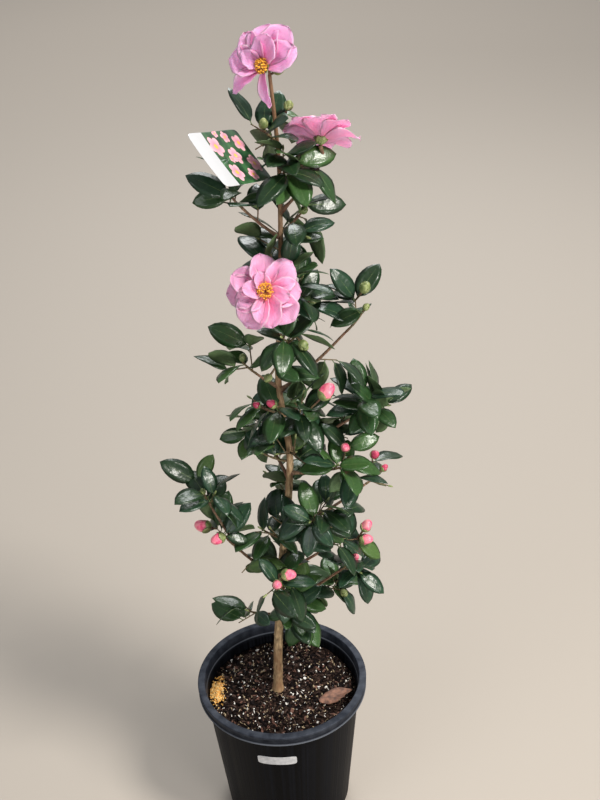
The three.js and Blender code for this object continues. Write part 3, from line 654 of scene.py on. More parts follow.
DEAD_LEAF_ROOT = (53.0, -38.0, 217.0)
DEAD_LEAF_LENGTH = 57.0
DEAD_LEAF_HALF = 14.5
DEAD_LEAF_RINGS = 26
DEAD_LEAF_ACROSS = 14
dead_blade = new_blade(DEAD_LEAF_ROOT, heading(24, 2), heading(204, 88), DEAD_LEAF_LENGTH, 0.25, 0.3)
dead_across, dead_face = loop_across(DEAD_LEAF_ACROSS)
dead_share = np.linspace(0, 1, DEAD_LEAF_RINGS)[:, None] + 0 * dead_across
dead_ragged = 1 + 0.05 * np.sin(31 * dead_share + 2 * dead_across)
dead_half = DEAD_LEAF_HALF * np.sin(np.pi * dead_share**0.85) ** 0.75 * dead_ragged + 0.3
dead_lift = 2.2 * dead_across**2 * np.sin(3 + 7 * dead_share) + 2.8 * np.abs(dead_across) * dead_share
dead_lift = dead_lift + 0.3 * dead_face
dead_brown = mottled_material(
    "dead_leaf_brown", (0.085, 0.034, 0.020, 1), (0.260, 0.118, 0.070, 1), roughness=0.62, scale=140.0,
    relief=0.0005, Detail=7.0, High=0.66,
)
dead_rings = blade_points(dead_blade, dead_share, dead_across * dead_half, dead_lift)
dead_leaf = shell("dead_leaf", dead_rings * MM, dead_brown)


# Trunk and boughs: slim wood under smooth tan bark, drawn into fine upright wrinkles, with a ring of old
# scars at each node and a collar where a bough leaves. The trunk flares at its foot and is browner and
# younger above.
TRUNK_FOOT_RADIUS = 7.2
TRUNK_TIP_RADIUS = 2.1
ROOT_FLARE = 2.4
FLARE_HEIGHT = 22.0
TAPER_POWER = 0.85
BARK_STEP = 2.4
trunk_points = np.array([tuple(v.co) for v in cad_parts["trunk"].data.vertices])
trunk_levels = np.unique(np.round(trunk_points[:, 2], 5))
trunk_line = np.array([
    np.unique(np.round(trunk_points[np.abs(trunk_points[:, 2] - z) < 2e-5], 6), axis=0).mean(axis=0)
    for z in trunk_levels
]) / MM
TRUNK_TOP = trunk_line[-1, 2]


def trunk_at(height):
    """The middle of the trunk at a height, between the two rings of its solid next to it."""
    level = [np.interp(height, trunk_line[:, 2], trunk_line[:, axis]) for axis in range(2)]
    return np.array(level + [height])


def trunk_radius(height):
    """Radius at a height: it tapers with a power of the share of the height gone, and the foot's flare dies
    as a square."""
    over = np.maximum(height - trunk_line[0, 2], 0)
    taper = (over / (TRUNK_TOP - trunk_line[0, 2])) ** TAPER_POWER
    flare = ROOT_FLARE * np.maximum(0, 1 - over / FLARE_HEIGHT) ** 2
    return TRUNK_FOOT_RADIUS + (TRUNK_TIP_RADIUS - TRUNK_FOOT_RADIUS) * taper + flare


def smooth_line(points, steps):
    """A curve through points, with steps spans between two: on each, the cubic whose way at a point is half
    the way from the point before it to the point after it."""
    points = np.asarray(points, float)
    ends = np.concatenate([[2 * points[0] - points[1]], points, [2 * points[-1] - points[-2]]])
    share = np.arange(steps)[:, None] / steps
    a, b, c, d = (ends[i : len(ends) - 3 + i, None] for i in range(4))
    curve = b + 0.5 * share * (c - a + share * (2 * a - 5 * b + 4 * c - d + share * (3 * b - a - 3 * c + d)))
    return np.concatenate([curve.reshape(-1, 3), points[-1:]])


def evenly(line, step):
    """The same line with its points about step apart, measured along it."""
    gone = np.concatenate([[0], np.cumsum(np.linalg.norm(np.diff(line, axis=0), axis=1))])
    wanted = np.linspace(0, gone[-1], max(3, int(gone[-1] / step) + 1))
    return np.stack([np.interp(wanted, gone, line[:, axis]) for axis in range(3)], axis=-1), wanted


def limb_rings(line, radius, sides):
    """Rings square to a line. radius is (points of the line,) or that by sides: a point is the line's own
    plus radius times (cos a, sin a) in the plane square to the line."""
    way = np.gradient(line, axis=0)
    way = way / np.linalg.norm(way, axis=1, keepdims=True)
    whole = line[-1] - line[0]
    steady = np.array([1.0, 0.0, 0.0]) if abs(whole[2]) > 0.8 * np.linalg.norm(whole) else UP
    side = np.cross(way, steady)
    side = side / np.linalg.norm(side, axis=1, keepdims=True)
    over = np.cross(side, way)
    angle = whole_turn(sides)
    radius = np.broadcast_to(np.asarray(radius, float).reshape(len(line), -1), (len(line), sides))
    out = side[:, None] * np.cos(angle)[:, None] - over[:, None] * np.sin(angle)[:, None]
    return line[:, None] + out * radius[..., None]


def bark_radius(radius, gone, sides, seed, node_step):
    """A limb's radius with its bark's relief: two trains of wrinkles that wind slowly round it, lumps, and at
    each node a low ring that is highest on one side, a bell curve 2 mm wide."""
    seeded = np.random.default_rng(seed)
    angle = whole_turn(sides)
    start = seeded.uniform(0, 2 * np.pi, 4)
    long_way = gone[:, None]
    relief = 0.014 * np.sin(5 * angle + 2.2 * np.sin(long_way / 41 + start[0]) + start[1])
    relief = relief + 0.010 * np.sin(8 * angle - 3.1 * np.sin(long_way / 29 + start[2]) + start[3])
    relief = relief + 0.030 * waves(long_way + 0 * angle, 9 * angle + 0 * long_way, 17, seed)
    nodes = np.cumsum(seeded.uniform(0.6, 1.4, int(gone[-1] / node_step) + 2) * node_step)
    turns = 2.4 * np.arange(len(nodes)) + start[0]
    for node, turn in zip(nodes, turns):
        ring = np.exp(-(((long_way - node) / 2.0) ** 2))
        relief = relief + ring * (0.05 + 0.09 * np.clip(np.cos(angle - turn), 0, 1) ** 2)
    return radius[:, None] * (1 + relief)


# A bough: name, height of its foot or (the bough it leaves, share of that one's length), way round, rise,
# length and radius.
BOUGHS = [
    ("low_left", 360, 202, 18, 36, 2.1),
    ("left", 424, 202, 49, 112, 2.7),
    ("left_up", ("left", 0.82), 172, 62, 80, 1.8),
    ("right_low", 379, 347, 33, 112, 2.6),
    ("right_fork", 439, 350, 30, 84, 2.5),
    ("right_back", 352, 20, 14, 76, 2.3),
    ("right_inner", 520, 318, 28, 56, 2.2),
    ("right_long", 508, 12, 20, 132, 2.7),
    ("right_mid_low", 610, 333, 12, 64, 2.2),
    ("right_mid", 650, 5, 17, 100, 2.5),
    ("right_upper", 736, 0, 38, 118, 2.5),
    ("left_mid", 742, 182, 34, 36, 2.1),
    ("upper_right", 985, 2, 44, 76, 2.1),
    ("upper_left", 952, 182, 40, 62, 2.0),
    ("back_low", 476, 82, 30, 78, 2.5),
    ("back_mid", 600, 118, 30, 66, 2.4),
    ("back_high", 786, 66, 38, 50, 2.2),
    ("front_low", 440, 264, 16, 56, 2.4),
]
BOUGH_STEPS = 3
BOUGH_TIP_RADIUS = 1.8
BOUGH_CURL = 0.3
FOOT_GAP = 0.3


def curling_line(start, direction, length, curl, steps):
    """The line of a limb in equal steps, each of which turns a little more to the light: its way is the
    direction plus curl times the share of the steps gone, upwards."""
    line = [np.array(start, float)]
    for step in range(steps):
        way = direction + UP * (curl * step / steps)
        line.append(line[-1] + unit(way) * (length / steps))
    return np.array(line)


def along_line(line, share):
    """The point a share of the way along a line of equal steps."""
    place = share * (len(line) - 1)
    step = min(int(place), len(line) - 2)
    return line[step] + (line[step + 1] - line[step]) * (place - step)


def way_at(line, share):
    """The direction of a line of equal steps, a share of the way along it."""
    step = min(int(share * (len(line) - 1)), len(line) - 2)
    return unit(line[step + 1] - line[step])


limbs = {"trunk": trunk_line}
bough_radii = {}
for name, place, turn, rise, length, radius in BOUGHS:
    way = heading(turn, rise)
    start = trunk_at(place) if isinstance(place, int) else along_line(limbs[place[0]], place[1]) + way
    limbs[name] = curling_line(start, way, length, BOUGH_CURL, BOUGH_STEPS)
    bough_radii[name] = radius


def new_bark(name, dark, light, red, stretch, young=None):
    """A bark: mottling drawn out along the limb in two tones, patches of a redder one, and a fine relief.
    young is (low, high, colour) of young wood, whose colour takes over between two heights, in metres."""
    made = new_material(name, Roughness=0.66, Specular_IOR_Level=0.4)
    place = coordinates(made)
    streaks = mottle(
        made, place, Stretch=(1, 1, stretch), Scale=330.0, Detail=6.0, Low=0.32, High=0.70, Dark=dark,
        Light=light,
    )
    patches = mottle(made, place, Stretch=(1, 1, 0.35), Scale=60.0, Detail=3.0, Low=0.44, High=0.66)
    colour = blended(made, patches.outputs["Height"], streaks.outputs["Colour"], red)
    if young:
        low, high, fresh = young
        height = new_node(made, "ShaderNodeSeparateXYZ", [("Vector", place)]).outputs["Z"]
        colour = blended(made, scaled(made, height, low, high, to_high=0.85), colour, fresh)
    feed(made, "Base Color", colour)
    add_bump(made, streaks.outputs["Height"], 0.0005)
    return made


TRUNK_SIDES = 28
TRUNK_SUNK = 3.0
TRUNK_NODE_STEP = 34.0
trunk_way, trunk_gone = evenly(smooth_line(trunk_line, 12), BARK_STEP)
trunk_way[0, 2] -= TRUNK_SUNK
trunk_girth = bark_radius(trunk_radius(trunk_way[:, 2]), trunk_gone, TRUNK_SIDES, 71, TRUNK_NODE_STEP)
trunk_bark = new_bark(
    "trunk_bark", (0.125, 0.078, 0.036, 1), (0.66, 0.47, 0.26, 1), (0.27, 0.145, 0.070, 1), 0.3,
    (0.55, 1.05, (0.17, 0.090, 0.045, 1)),
)
trunk = shell("trunk_bark", limb_rings(trunk_way, trunk_girth, TRUNK_SIDES) * MM, trunk_bark)
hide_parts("trunk")

BOUGH_SIDES = 18
BOUGH_NODE_STEP = 19.0
COLLAR = 1.5
bough_bark = new_bark(
    "bough_bark", (0.080, 0.044, 0.026, 1), (0.270, 0.165, 0.095, 1), (0.160, 0.070, 0.040, 1), 0.5,
)
for number, (name, radius) in enumerate(bough_radii.items()):
    bough_way, bough_gone = evenly(smooth_line(limbs[name], 8), BARK_STEP)
    taper = np.linspace(radius, BOUGH_TIP_RADIUS * 0.9, len(bough_gone))
    taper = taper + COLLAR * np.exp(-((bough_gone - 4) / 6.0) ** 2)
    bough_girth = bark_radius(taper, bough_gone, BOUGH_SIDES, 80 + number, BOUGH_NODE_STEP)
    bough = shell("bough_" + name + "_bark", limb_rings(bough_way, bough_girth, BOUGH_SIDES) * MM, bough_bark)
    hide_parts("bough_" + name)


# Room: the plant keeps its leaves clear of each other and of its limbs, because each grows to the light. What
# is taken up is felt out by balls along limbs and over leaves, petals and the tag, as in the solids' rule.
MARGIN = 1.0
OWN_SHARE = 1.1
BALL_STEP = 5.0
FAR_BALL = 20.0
taken_at = np.zeros((0, 3))
taken_radius = np.zeros(0)
taken_owner = np.zeros(0, "<U24")


def take(balls, owner):
    """Marks balls, (places, radii), as an owner's."""
    global taken_at, taken_radius, taken_owner
    places, radii = balls
    taken_at = np.concatenate([taken_at, places])
    taken_radius = np.concatenate([taken_radius, radii])
    taken_owner = np.concatenate([taken_owner, np.full(len(radii), owner)])


def is_clear(balls, owner):
    """Whether no ball comes too near one that is taken: nearer than both radii, times a share between two of
    one owner, or plus a margin between two owners."""
    places, radii = balls
    middle = (places.min(axis=0) + places.max(axis=0)) / 2
    near = np.abs(taken_at - middle).max(axis=1) < np.ptp(places, axis=0).max() / 2 + FAR_BALL
    apart = np.linalg.norm(places[:, None] - taken_at[near], axis=-1)
    reach = radii[:, None] + taken_radius[near]
    least = np.where(taken_owner[near] == owner, reach * OWN_SHARE, reach + MARGIN)
    return bool((apart >= least).all())


def line_balls(line, radius, first):
    """Balls of a radius about 5 mm apart along a line, from a share of its length onwards."""
    length = np.linalg.norm(line[1] - line[0]) * (len(line) - 1)
    count = max(2, int(np.ceil(length / BALL_STEP)))
    shares = [ball / count for ball in range(count + 1) if ball / count >= first]
    return np.array([along_line(line, share) for share in shares]), np.full(len(shares), float(radius))


trunk_heights = np.arange(MIX_TOP, TRUNK_TOP, BALL_STEP)
take((np.array([trunk_at(height) for height in trunk_heights]), trunk_radius(trunk_heights)), "trunk")
for name, radius in bough_radii.items():
    take(line_balls(limbs[name], radius, 0.1), "bough_" + name)


# Blooms: three single blooms of broad pink petals, each notched at its tip and cupped, then turned back.
# Within stand some eighty yellow filaments with golden anthers, and green scales close up behind round the
# stalk.
GOLDEN_TURN = 137.5
PETAL_HALF = 0.34
PETAL_BALL = 0.13
PETAL_ARCH = 0.35
HEART_RADIUS = 7.0
STALK_RADIUS = 1.7
STALK_BEND = 6.0
STALK_SIDES = 12
STALK_SWELL = 0.9
# A bloom: name, the height or the limb it grows on, heart, turn and rise of its face, and the solid's
# petals, as (way round, opening, length). These mark the room that a bloom takes.
BLOOMS = [
    ("top_bloom", "trunk", (27, -22, 1166), 232, 14, [
        (66, 84, 50), (94, 76, 43), (124, 60, 41), (180, 62, 41), (238, 86, 52), (278, 88, 54),
    ]),
    ("side_bloom", "upper_right", (88, -2, 1070), 75, 50, [
        (10, 80, 44), (62, 78, 43), (113, 82, 45), (165, 80, 43), (216, 76, 44), (268, 82, 45), (318, 78, 46),
        (36, 56, 36), (156, 58, 35), (280, 56, 37),
    ]),
    ("front_bloom", 880, (12, -46, 904), 268, 24, [
        (95, 80, 44), (147, 80, 47), (175, 88, 50), (200, 76, 42), (230, 82, 49), (268, 64, 43),
        (297, 84, 48), (346, 80, 42), (42, 80, 44), (168, 50, 32), (100, 46, 30), (332, 52, 34),
    ]),
]
# Each bloom's petals as they are drawn: way round, opening, length, and breadth as a share of the usual one.
DRAWN_PETALS = {
    "top_bloom": [
        (88, 80, 45, 1.1), (62, 88, 50, 1.1), (32, 82, 44, 1.05), (125, 66, 42, 1.0), (172, 60, 41, 1.05),
        (75, 60, 38, 1.0), (150, 48, 30, 0.85), (225, 60, 47, 0.48), (280, 85, 45, 0.46),
    ],
    "side_bloom": [
        (5, 66, 46, 1.05), (45, 60, 45, 1.05), (95, 60, 46, 1.1), (140, 60, 45, 1.05), (185, 68, 46, 1.1),
        (230, 72, 44, 1.0), (275, 70, 42, 1.0), (320, 70, 44, 1.05), (30, 44, 36, 1.0), (120, 42, 36, 1.0),
        (210, 46, 34, 1.0), (300, 46, 34, 1.0),
    ],
    "front_bloom": [
        (92, 82, 45, 1.05), (42, 80, 47, 1.12), (355, 80, 43, 1.05), (310, 84, 50, 1.05), (275, 66, 46, 1.0),
        (238, 82, 50, 1.05), (205, 70, 41, 0.95), (180, 90, 48, 1.1), (150, 78, 45, 1.0), (168, 52, 31, 1.0),
        (105, 48, 28, 0.95), (340, 58, 33, 0.95),
    ],
}
STAMEN_SIZES = {"top_bloom": 0.72, "side_bloom": 1.0, "front_bloom": 1.0}


def turned(vector, axis, degrees):
    """A vector turned about an axis at right angles to it: v cos t + (axis x v) sin t."""
    turn = np.radians(degrees)
    return vector * np.cos(turn) + np.cross(axis, vector) * np.sin(turn)


def round_about(along, degrees):
    """A direction at right angles to along, some degrees round it."""
    level = np.array([1.0, 0.0, 0.0]) if abs(along[2]) > 0.9 else UP
    return turned(unit(np.cross(along, level)), along, degrees)


def leaning(along, out, degrees):
    """The direction some degrees away from along, towards out."""
    return along * np.cos(np.radians(degrees)) + out * np.sin(np.radians(degrees))


def face_to(light, way):
    """The direction at right angles to way that comes nearest to the light's."""
    return unit(light - way * (light @ way))


def foot_of(place, way):
    """Where something starts: on the trunk at a height, or just past the tip of the limb of a name."""
    return trunk_at(place) if isinstance(place, int) else limbs[place][-1] + way * FOOT_GAP


def blade_balls(blade, spots, half, radius):
    """Balls over a flat blade, from spots of share along it, side and size, as shares of half and radius."""
    share, side, size = np.array(spots, float).T[:, :, None]
    return blade_points(blade, share, side * half, 0 * share)[0, :, 0], size[:, 0] * radius


def stacked(blades):
    """One blade of arrays from a list of single blades."""
    return {key: np.array([blade[key] for blade in blades]) for key in blades[0]}


def petal_on(root, face, around, opening, length, arch=PETAL_ARCH):
    """A petal or a scale that opens by some degrees from a bloom's face, some degrees round it."""
    out = round_about(face, around)
    return new_blade(root, leaning(face, out, opening), leaning(face, out, opening - 90), length, arch)


PETAL_SPOTS = [(share, side, 1.0) for share in (0.4, 0.7, 0.95) for side in (-0.6, 0.0, 0.6)]
bloom_petals = {}
bloom_stalks = {}
for name, place, heart, turn, rise, rows in BLOOMS:
    face = heading(turn, rise)
    heart = np.array(heart, float)
    for around, opening, length in rows:
        petal = petal_on(heart, face, around + 180, opening, length)
        take(blade_balls(petal, PETAL_SPOTS, PETAL_HALF * length, PETAL_BALL * length), name)
    bloom_petals[name] = [
        petal_on(heart, face, around + 180, opening, length) | {"breadth": breadth}
        for around, opening, length, breadth in DRAWN_PETALS[name]
    ]
    back = heart + face * (1 - HEART_RADIUS)
    way = way_at(limbs[place], 1) if isinstance(place, str) else face
    foot = foot_of(place, way)
    bloom_stalks[name] = np.array([foot, foot + way * STALK_BEND, back])
    take(line_balls(np.array([foot, back]), STALK_RADIUS + 1, 0.2), name)

PETAL_RINGS = 30
PETAL_ACROSS = 14
PETAL_THICK = 0.45


def shares_along(count, rings, last=1.0):
    """Shares from 0 to last of the length of each of count blades, one for each of its rings."""
    return np.linspace(0, last, rings)[None, :, None] * np.ones((count, 1, 1))


def petal_rings(petals, seed):
    """Petals as closed shells. The half width is 0.41 of the length at its widest, times (2.1 s)^0.8 near
    the root and a root of 1 - s^4.2 near the tip. A petal is cupped as a square of the place across, its
    tip turns back as a square of the share, its margin ripples, and a bell-shaped dent notches the tip."""
    seeded = np.random.default_rng(seed)
    blades = stacked(petals)
    count = len(petals)
    across, face = loop_across(PETAL_ACROSS)
    share = shares_along(count, PETAL_RINGS) ** 0.9
    length = blades["length"][:, None, None]
    draws = seeded.uniform(-1, 1, (8, count, 1, 1))
    width = np.minimum((2.1 * share + 0.02) ** 0.8, 1) * np.sqrt(np.clip(1 - share**4.2, 0, 1))
    ripple = 1 + 0.035 * np.sin(9 * share + 5 * draws[0]) * np.sign(across)
    ripple = ripple + 0.02 * np.sin(23 * share + 6 * draws[1])
    breadth = blades["breadth"][:, None, None]
    spread_out = across * breadth * (0.41 + 0.03 * draws[2]) * length * (width * ripple + 0.012)
    notch = 0.085 * np.exp(-((across / 0.26) ** 2)) * np.clip((share - 0.72) / 0.28, 0, 1) ** 1.5
    crown = 0.04 * (1 - across**2) * np.clip((share - 0.6) / 0.4, 0, 1)
    cup = (0.16 + 0.05 * draws[3]) * across**2 * np.sin(np.pi * np.clip(share * 1.1, 0, 1)) ** 0.8
    curl = (0.05 + 0.06 * draws[4]) * np.clip((share - 0.55) / 0.45, 0, 1) ** 2
    wave = 0.030 * np.sin(7 * share + 3 * across + 6 * draws[5]) * (0.3 + across**2) * share
    wave = wave + 0.014 * np.sin(17 * share - 6 * across * share + 6 * draws[6]) * share
    crease = -0.012 * np.exp(-((across / 0.12) ** 2)) * np.sin(np.pi * share)
    lift = length * (cup - curl * (1 + 0.6 * across) + wave + crease) + 0.5 * PETAL_THICK * face
    blades["face"] = np.stack([
        turned(petal["face"], petal["way"], 9 + 5 * tip) for petal, tip in zip(petals, draws[7, :, 0, 0])
    ])
    return blade_points(blades, share * (1 + crown - notch), spread_out, lift)


def new_petal_skin(name, base, middle, edge):
    """A petal's skin: deeper at its root, veined along its length and paler at its margin and tip. The deeper
    root is partly painted shade in the cup of the bloom and the paler tip partly a painted highlight. The UV
    map's u is the place round the shell, so a margin is at 0 and 0.5, and v the share of the length."""
    made = new_material(name, Roughness=0.5, Subsurface_Weight=0.6, Subsurface_Scale=0.004)
    made.node_tree.nodes["Principled BSDF"].inputs["Subsurface Radius"].default_value = (1.0, 0.55, 0.6)
    place = new_node(made, "ShaderNodeSeparateXYZ", [("Vector", coordinates(made, "UV"))]).outputs
    margin = scaled(made, computed(made, "PINGPONG", place["X"], 0.25), 0.16, -0.04)
    # The paler tip is partly a painted highlight.
    pale = computed(made, "MAXIMUM", margin, scaled(made, place["Y"], 0.55, 1.15))
    veins = mottle(
        made, coordinates(made, "UV"), Stretch=(42, 1.6, 1), Scale=2.2, Detail=3.0, High=0.72, Dark=middle,
        Light=shaded(middle, 0.82),
    )
    paler = blended(made, pale, veins.outputs["Colour"], edge)
    # The deeper root is partly painted shade in the cup of the bloom.
    feed(made, "Base Color", blended(made, scaled(made, place["Y"], 0.42, 0.05), paler, base))
    add_bump(made, veins.outputs["Height"], 0.00035)
    return made


petal_skin = new_petal_skin(
    "petal_skin", (0.92, 0.20, 0.34, 1), (0.98, 0.295, 0.54, 1), (0.99, 0.43, 0.67, 1),
)
# Painted shade: a bluer, lavender copy of the petal skin for the top bloom, whose petals are tinted as if in
# shade.
shade_tinted_skin = new_petal_skin(
    "petal_skin_shade_tinted", (0.90, 0.20, 0.42, 1), (0.98, 0.305, 0.62, 1), (0.99, 0.44, 0.74, 1),
)
for number, (name, petals) in enumerate(bloom_petals.items()):
    skin = shade_tinted_skin if name == "top_bloom" else petal_skin
    petal_piece = shell(name + "_petals", petal_rings(petals, 90 + number) * MM, skin)
    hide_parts(name)

FILAMENTS = 84
FILAMENT_LENGTHS = (11.0, 18.5)
FILAMENT_STEPS = 4
FILAMENT_SIDES = 5
FILAMENT_SINK = 2.0
ANTHER_SIDES = 6
FILAMENT_RADII = np.linspace(0.42, 0.26, FILAMENT_STEPS + 1)
ANTHER_RADII = np.array([0.25, 0.78, 0.86, 0.7, 0.2])
ANTHER_LENGTH = 2.5
filament_gold = mottled_material(
    "filament_yellow", (0.94, 0.58, 0.11, 1), (1.0, 0.80, 0.32, 1), roughness=0.55, scale=500.0,
)
anther_gold = mottled_material(
    "anther_gold", (0.80, 0.34, 0.022, 1), (1.0, 0.58, 0.07, 1), roughness=0.75, scale=900.0, relief=0.0003,
)
filament_rings = []
anther_rings = []
for number, (name, place, heart, turn, rise, rows) in enumerate(BLOOMS):
    seeded = np.random.default_rng(100 + number)
    face = heading(turn, rise)
    for stamen in range(FILAMENTS):
        out = round_about(face, GOLDEN_TURN * stamen)
        ring_share = np.sqrt((stamen + 0.5) / FILAMENTS)
        open_way = leaning(face, out, 2 + 24 * ring_share + seeded.uniform(-5, 5))
        length = np.interp(ring_share, (0, 1), FILAMENT_LENGTHS[::-1]) + seeded.uniform(-1.5, 1.5)
        length = length * STAMEN_SIZES[name]
        start = np.array(heart) - face * FILAMENT_SINK + out * (0.4 + 4.2 * ring_share)
        line = curling_line(start, open_way, length, seeded.uniform(-0.2, 0.5), FILAMENT_STEPS)
        filament_rings.append(limb_rings(line, FILAMENT_RADII, FILAMENT_SIDES))
        tip_way = way_at(line, 1) + 0.5 * seeded.uniform(-1, 1, 3)
        tip = curling_line(line[-1] - tip_way * 0.8, tip_way, ANTHER_LENGTH, 0, 4)
        anther_rings.append(limb_rings(tip, ANTHER_RADII, ANTHER_SIDES))
filaments = shell("bloom_filaments", np.array(filament_rings) * MM, filament_gold)
anthers = shell("bloom_anthers", np.array(anther_rings) * MM, anther_gold)

green_scale = mottled_material(
    "calyx_green", (0.10, 0.14, 0.038, 1), (0.29, 0.33, 0.13, 1), roughness=0.5, scale=120.0, relief=0.0003,
    Detail=3.0,
)
CALYX_SCALES = 6
SCALE_LENGTH = 12.0
SCALE_HALF = 5.2
SCALE_RINGS = 9
SCALE_ACROSS = 8
SCALE_OPENING = 62
SCALE_ARCH = -0.5
scale_blades = []
stalk_rings = []
for name, place, heart, turn, rise, rows in BLOOMS:
    face = heading(turn, rise)
    for k in range(CALYX_SCALES):
        root = np.array(heart, float) - face * (4.6 - 0.5 * (k % 2))
        around = 360 * k / CALYX_SCALES + 15
        scale_blades.append(petal_on(root, face, around, SCALE_OPENING, SCALE_LENGTH, SCALE_ARCH))
    stalk_way = smooth_line(bloom_stalks[name], 8)
    swelling = STALK_RADIUS + STALK_SWELL * np.linspace(0, 1, len(stalk_way)) ** 4
    stalk_rings.append(limb_rings(stalk_way, swelling, STALK_SIDES))
scale_across, scale_face = loop_across(SCALE_ACROSS)
scale_share = shares_along(len(scale_blades), SCALE_RINGS)
scale_half = SCALE_HALF * np.sin(np.pi * np.clip(0.12 + 0.86 * scale_share, 0, 1)) ** 0.6
scale_lift = 0.9 * scale_across**2 + 0.45 * scale_face
scale_points = blade_points(stacked(scale_blades), scale_share, scale_across * scale_half, scale_lift)
calyx = shell("bloom_calyx", scale_points * MM, green_scale)
stalks = shell("bloom_stalks", np.array(stalk_rings) * MM, bough_bark)


# Picture tag: a stiff printed card with round corners, white along one long edge and with a plain pattern of
# blossoms on green beside it, on a moulded green strap that is looped tightly round the trunk.
TAG_MIDDLE = np.array([-18.0, -40.0, 1070.0])
TAG_LENGTH = 118.0
TAG_WIDTH = 74.0
TAG_THICK = 0.8
TAG_CORNER = 3.0
STRAP_HEIGHT = 1048.0
STRAP_WIDTH = 8.0
STRAP_RING = 2.2
STRAP_RADIUS = 1.2
STRAP_BOW = 2.5
STRAP_SIDES = 12
STRAP_RING_GAP = 0.5
STRAP_RING_SIDES = 40
tag_long = unit(np.array([0.45, 0.85, -0.26]))
tag_face = face_to(np.array([0.72, -0.16, 0.68]), tag_long)
tag_across = np.cross(tag_face, tag_long)


def on_tag(along, across, out):
    """Points of the card: mm along it, across it and out of its face, from the middle of its back."""
    flat = TAG_MIDDLE + along[..., None] * tag_long + across[..., None] * tag_across
    return flat + out[..., None] * tag_face


hub = trunk_at(STRAP_HEIGHT)
strap_edge = on_tag(np.array(TAG_LENGTH / 2 - TAG_CORNER), np.array(-TAG_WIDTH / 4), np.array(TAG_THICK / 2))
take(line_balls(np.array([strap_edge, hub]), STRAP_RADIUS + 1, 0), "tag")
spot_along, spot_across = np.meshgrid(
    np.linspace(-0.5, 0.5, 12) * TAG_LENGTH, np.linspace(-0.5, 0.5, 8) * TAG_WIDTH, indexing="ij",
)
take((on_tag(spot_along, spot_across, 0 * spot_along).reshape(-1, 3), np.full(spot_along.size, 5.0)), "tag")

CARD_SIDES = 160
CARD_POWER = 14
CARD_BOW = 1.2
card_edge_along, card_edge_across = squared_circle(CARD_SIDES, CARD_POWER)
card_size = np.array([0.01, 0.5, 0.985, 1.0, 1.0, 0.985, 0.5, 0.01])[:, None]
card_out = np.array([0.0, 0.0, 0.0, 0.25, 0.75, 1.0, 1.0, 1.0])[:, None] * TAG_THICK
card_along = card_size * card_edge_along * TAG_LENGTH / 2
card_across = card_size * card_edge_across * TAG_WIDTH / 2
card_bend = CARD_BOW * ((card_across / TAG_WIDTH * 2) ** 2 + (card_along / TAG_LENGTH * 2) ** 2 - 1)
card_rings = on_tag(card_along, card_across, card_out + card_bend)

# A printed blossom on a ground: five round petals, where the distance from its middle is under
# size (0.70 + 0.30 |cos 2.5 a|) at an angle a, deeper towards a round golden heart of a quarter of its size.
blossom = bpy.data.node_groups.new("printed_blossom", "ShaderNodeTree")
for socket in ("Along", "Across", "Middle Along", "Middle Across", "Size", "Turn"):
    blossom.interface.new_socket(socket, in_out="INPUT", socket_type="NodeSocketFloat")
for socket in ("Ground", "Petal"):
    blossom.interface.new_socket(socket, in_out="INPUT", socket_type="NodeSocketColor")
blossom.interface.new_socket("Colour", in_out="OUTPUT", socket_type="NodeSocketColor")
PRINTED_PINK = (0.88, 0.50, 0.56, 1)
PRINTED_DEEP = (0.72, 0.13, 0.26, 1)
PRINTED_GOLD = (0.85, 0.50, 0.06, 1)
printed = blossom.nodes.new("NodeGroupInput").outputs
off_along = computed(blossom, "SUBTRACT", printed["Along"], printed["Middle Along"])
off_across = computed(blossom, "SUBTRACT", printed["Across"], printed["Middle Across"])
squares = computed(
    blossom, "ADD", computed(blossom, "MULTIPLY", off_along, off_along),
    computed(blossom, "MULTIPLY", off_across, off_across),
)
apart = computed(blossom, "DIVIDE", computed(blossom, "SQRT", squares), printed["Size"])
around = computed(blossom, "ADD", computed(blossom, "ARCTAN2", off_across, off_along), printed["Turn"])
lobe = computed(blossom, "ABSOLUTE", computed(blossom, "COSINE", computed(blossom, "MULTIPLY", around, 2.5)))
outline = computed(blossom, "MULTIPLY_ADD", lobe, 0.30, 0.70)
inside = scaled(blossom, computed(blossom, "SUBTRACT", outline, apart), 0.0, 0.06)
deep = scaled(blossom, apart, 0.15, 1.0, 0.75, 0.0)
flower = blended(blossom, deep, printed["Petal"], PRINTED_DEEP)
flower = blended(blossom, inside, printed["Ground"], flower)
flower = blended(blossom, scaled(blossom, apart, 0.26, 0.20), flower, PRINTED_GOLD)
new_node(blossom, "NodeGroupOutput", [("Colour", flower)])

TAG_MARGIN = 34.0
# A printed blossom: place along and across the card in mm, size and turn.
TAG_BLOSSOMS = [
    (-8, -20, 13.0, 0.4), (-12, 17, 14.5, 1.7), (17, 2, 12.5, 2.6), (22, 28, 8.5, 0.9), (24, -26, 9.5, 2.0),
    (46, -12, 13.0, 1.2), (44, 18, 12.0, 0.2), (4, -2, 5.5, 2.9), (4, 34, 6.0, 0.7),
]
card_print = new_material("card_print", Roughness=0.34, Coat_Weight=0.25)
card_place = new_node(
    card_print, "ShaderNodeVectorMath", [(0, coordinates(card_print)), (1, TAG_MIDDLE * MM)],
    operation="SUBTRACT",
)
place_along, place_across = (
    new_node(
        card_print, "ShaderNodeVectorMath", [(0, card_place.outputs[0]), (1, axis / MM)],
        operation="DOT_PRODUCT",
    ).outputs["Value"]
    for axis in (tag_long, tag_across)
)
card_green = mottle(
    card_print, coordinates(card_print), Scale=75.0, Detail=5.0, High=0.7,
    Dark=(0.010, 0.045, 0.018, 1), Light=(0.055, 0.16, 0.055, 1),
)
card_colour = card_green.outputs["Colour"]
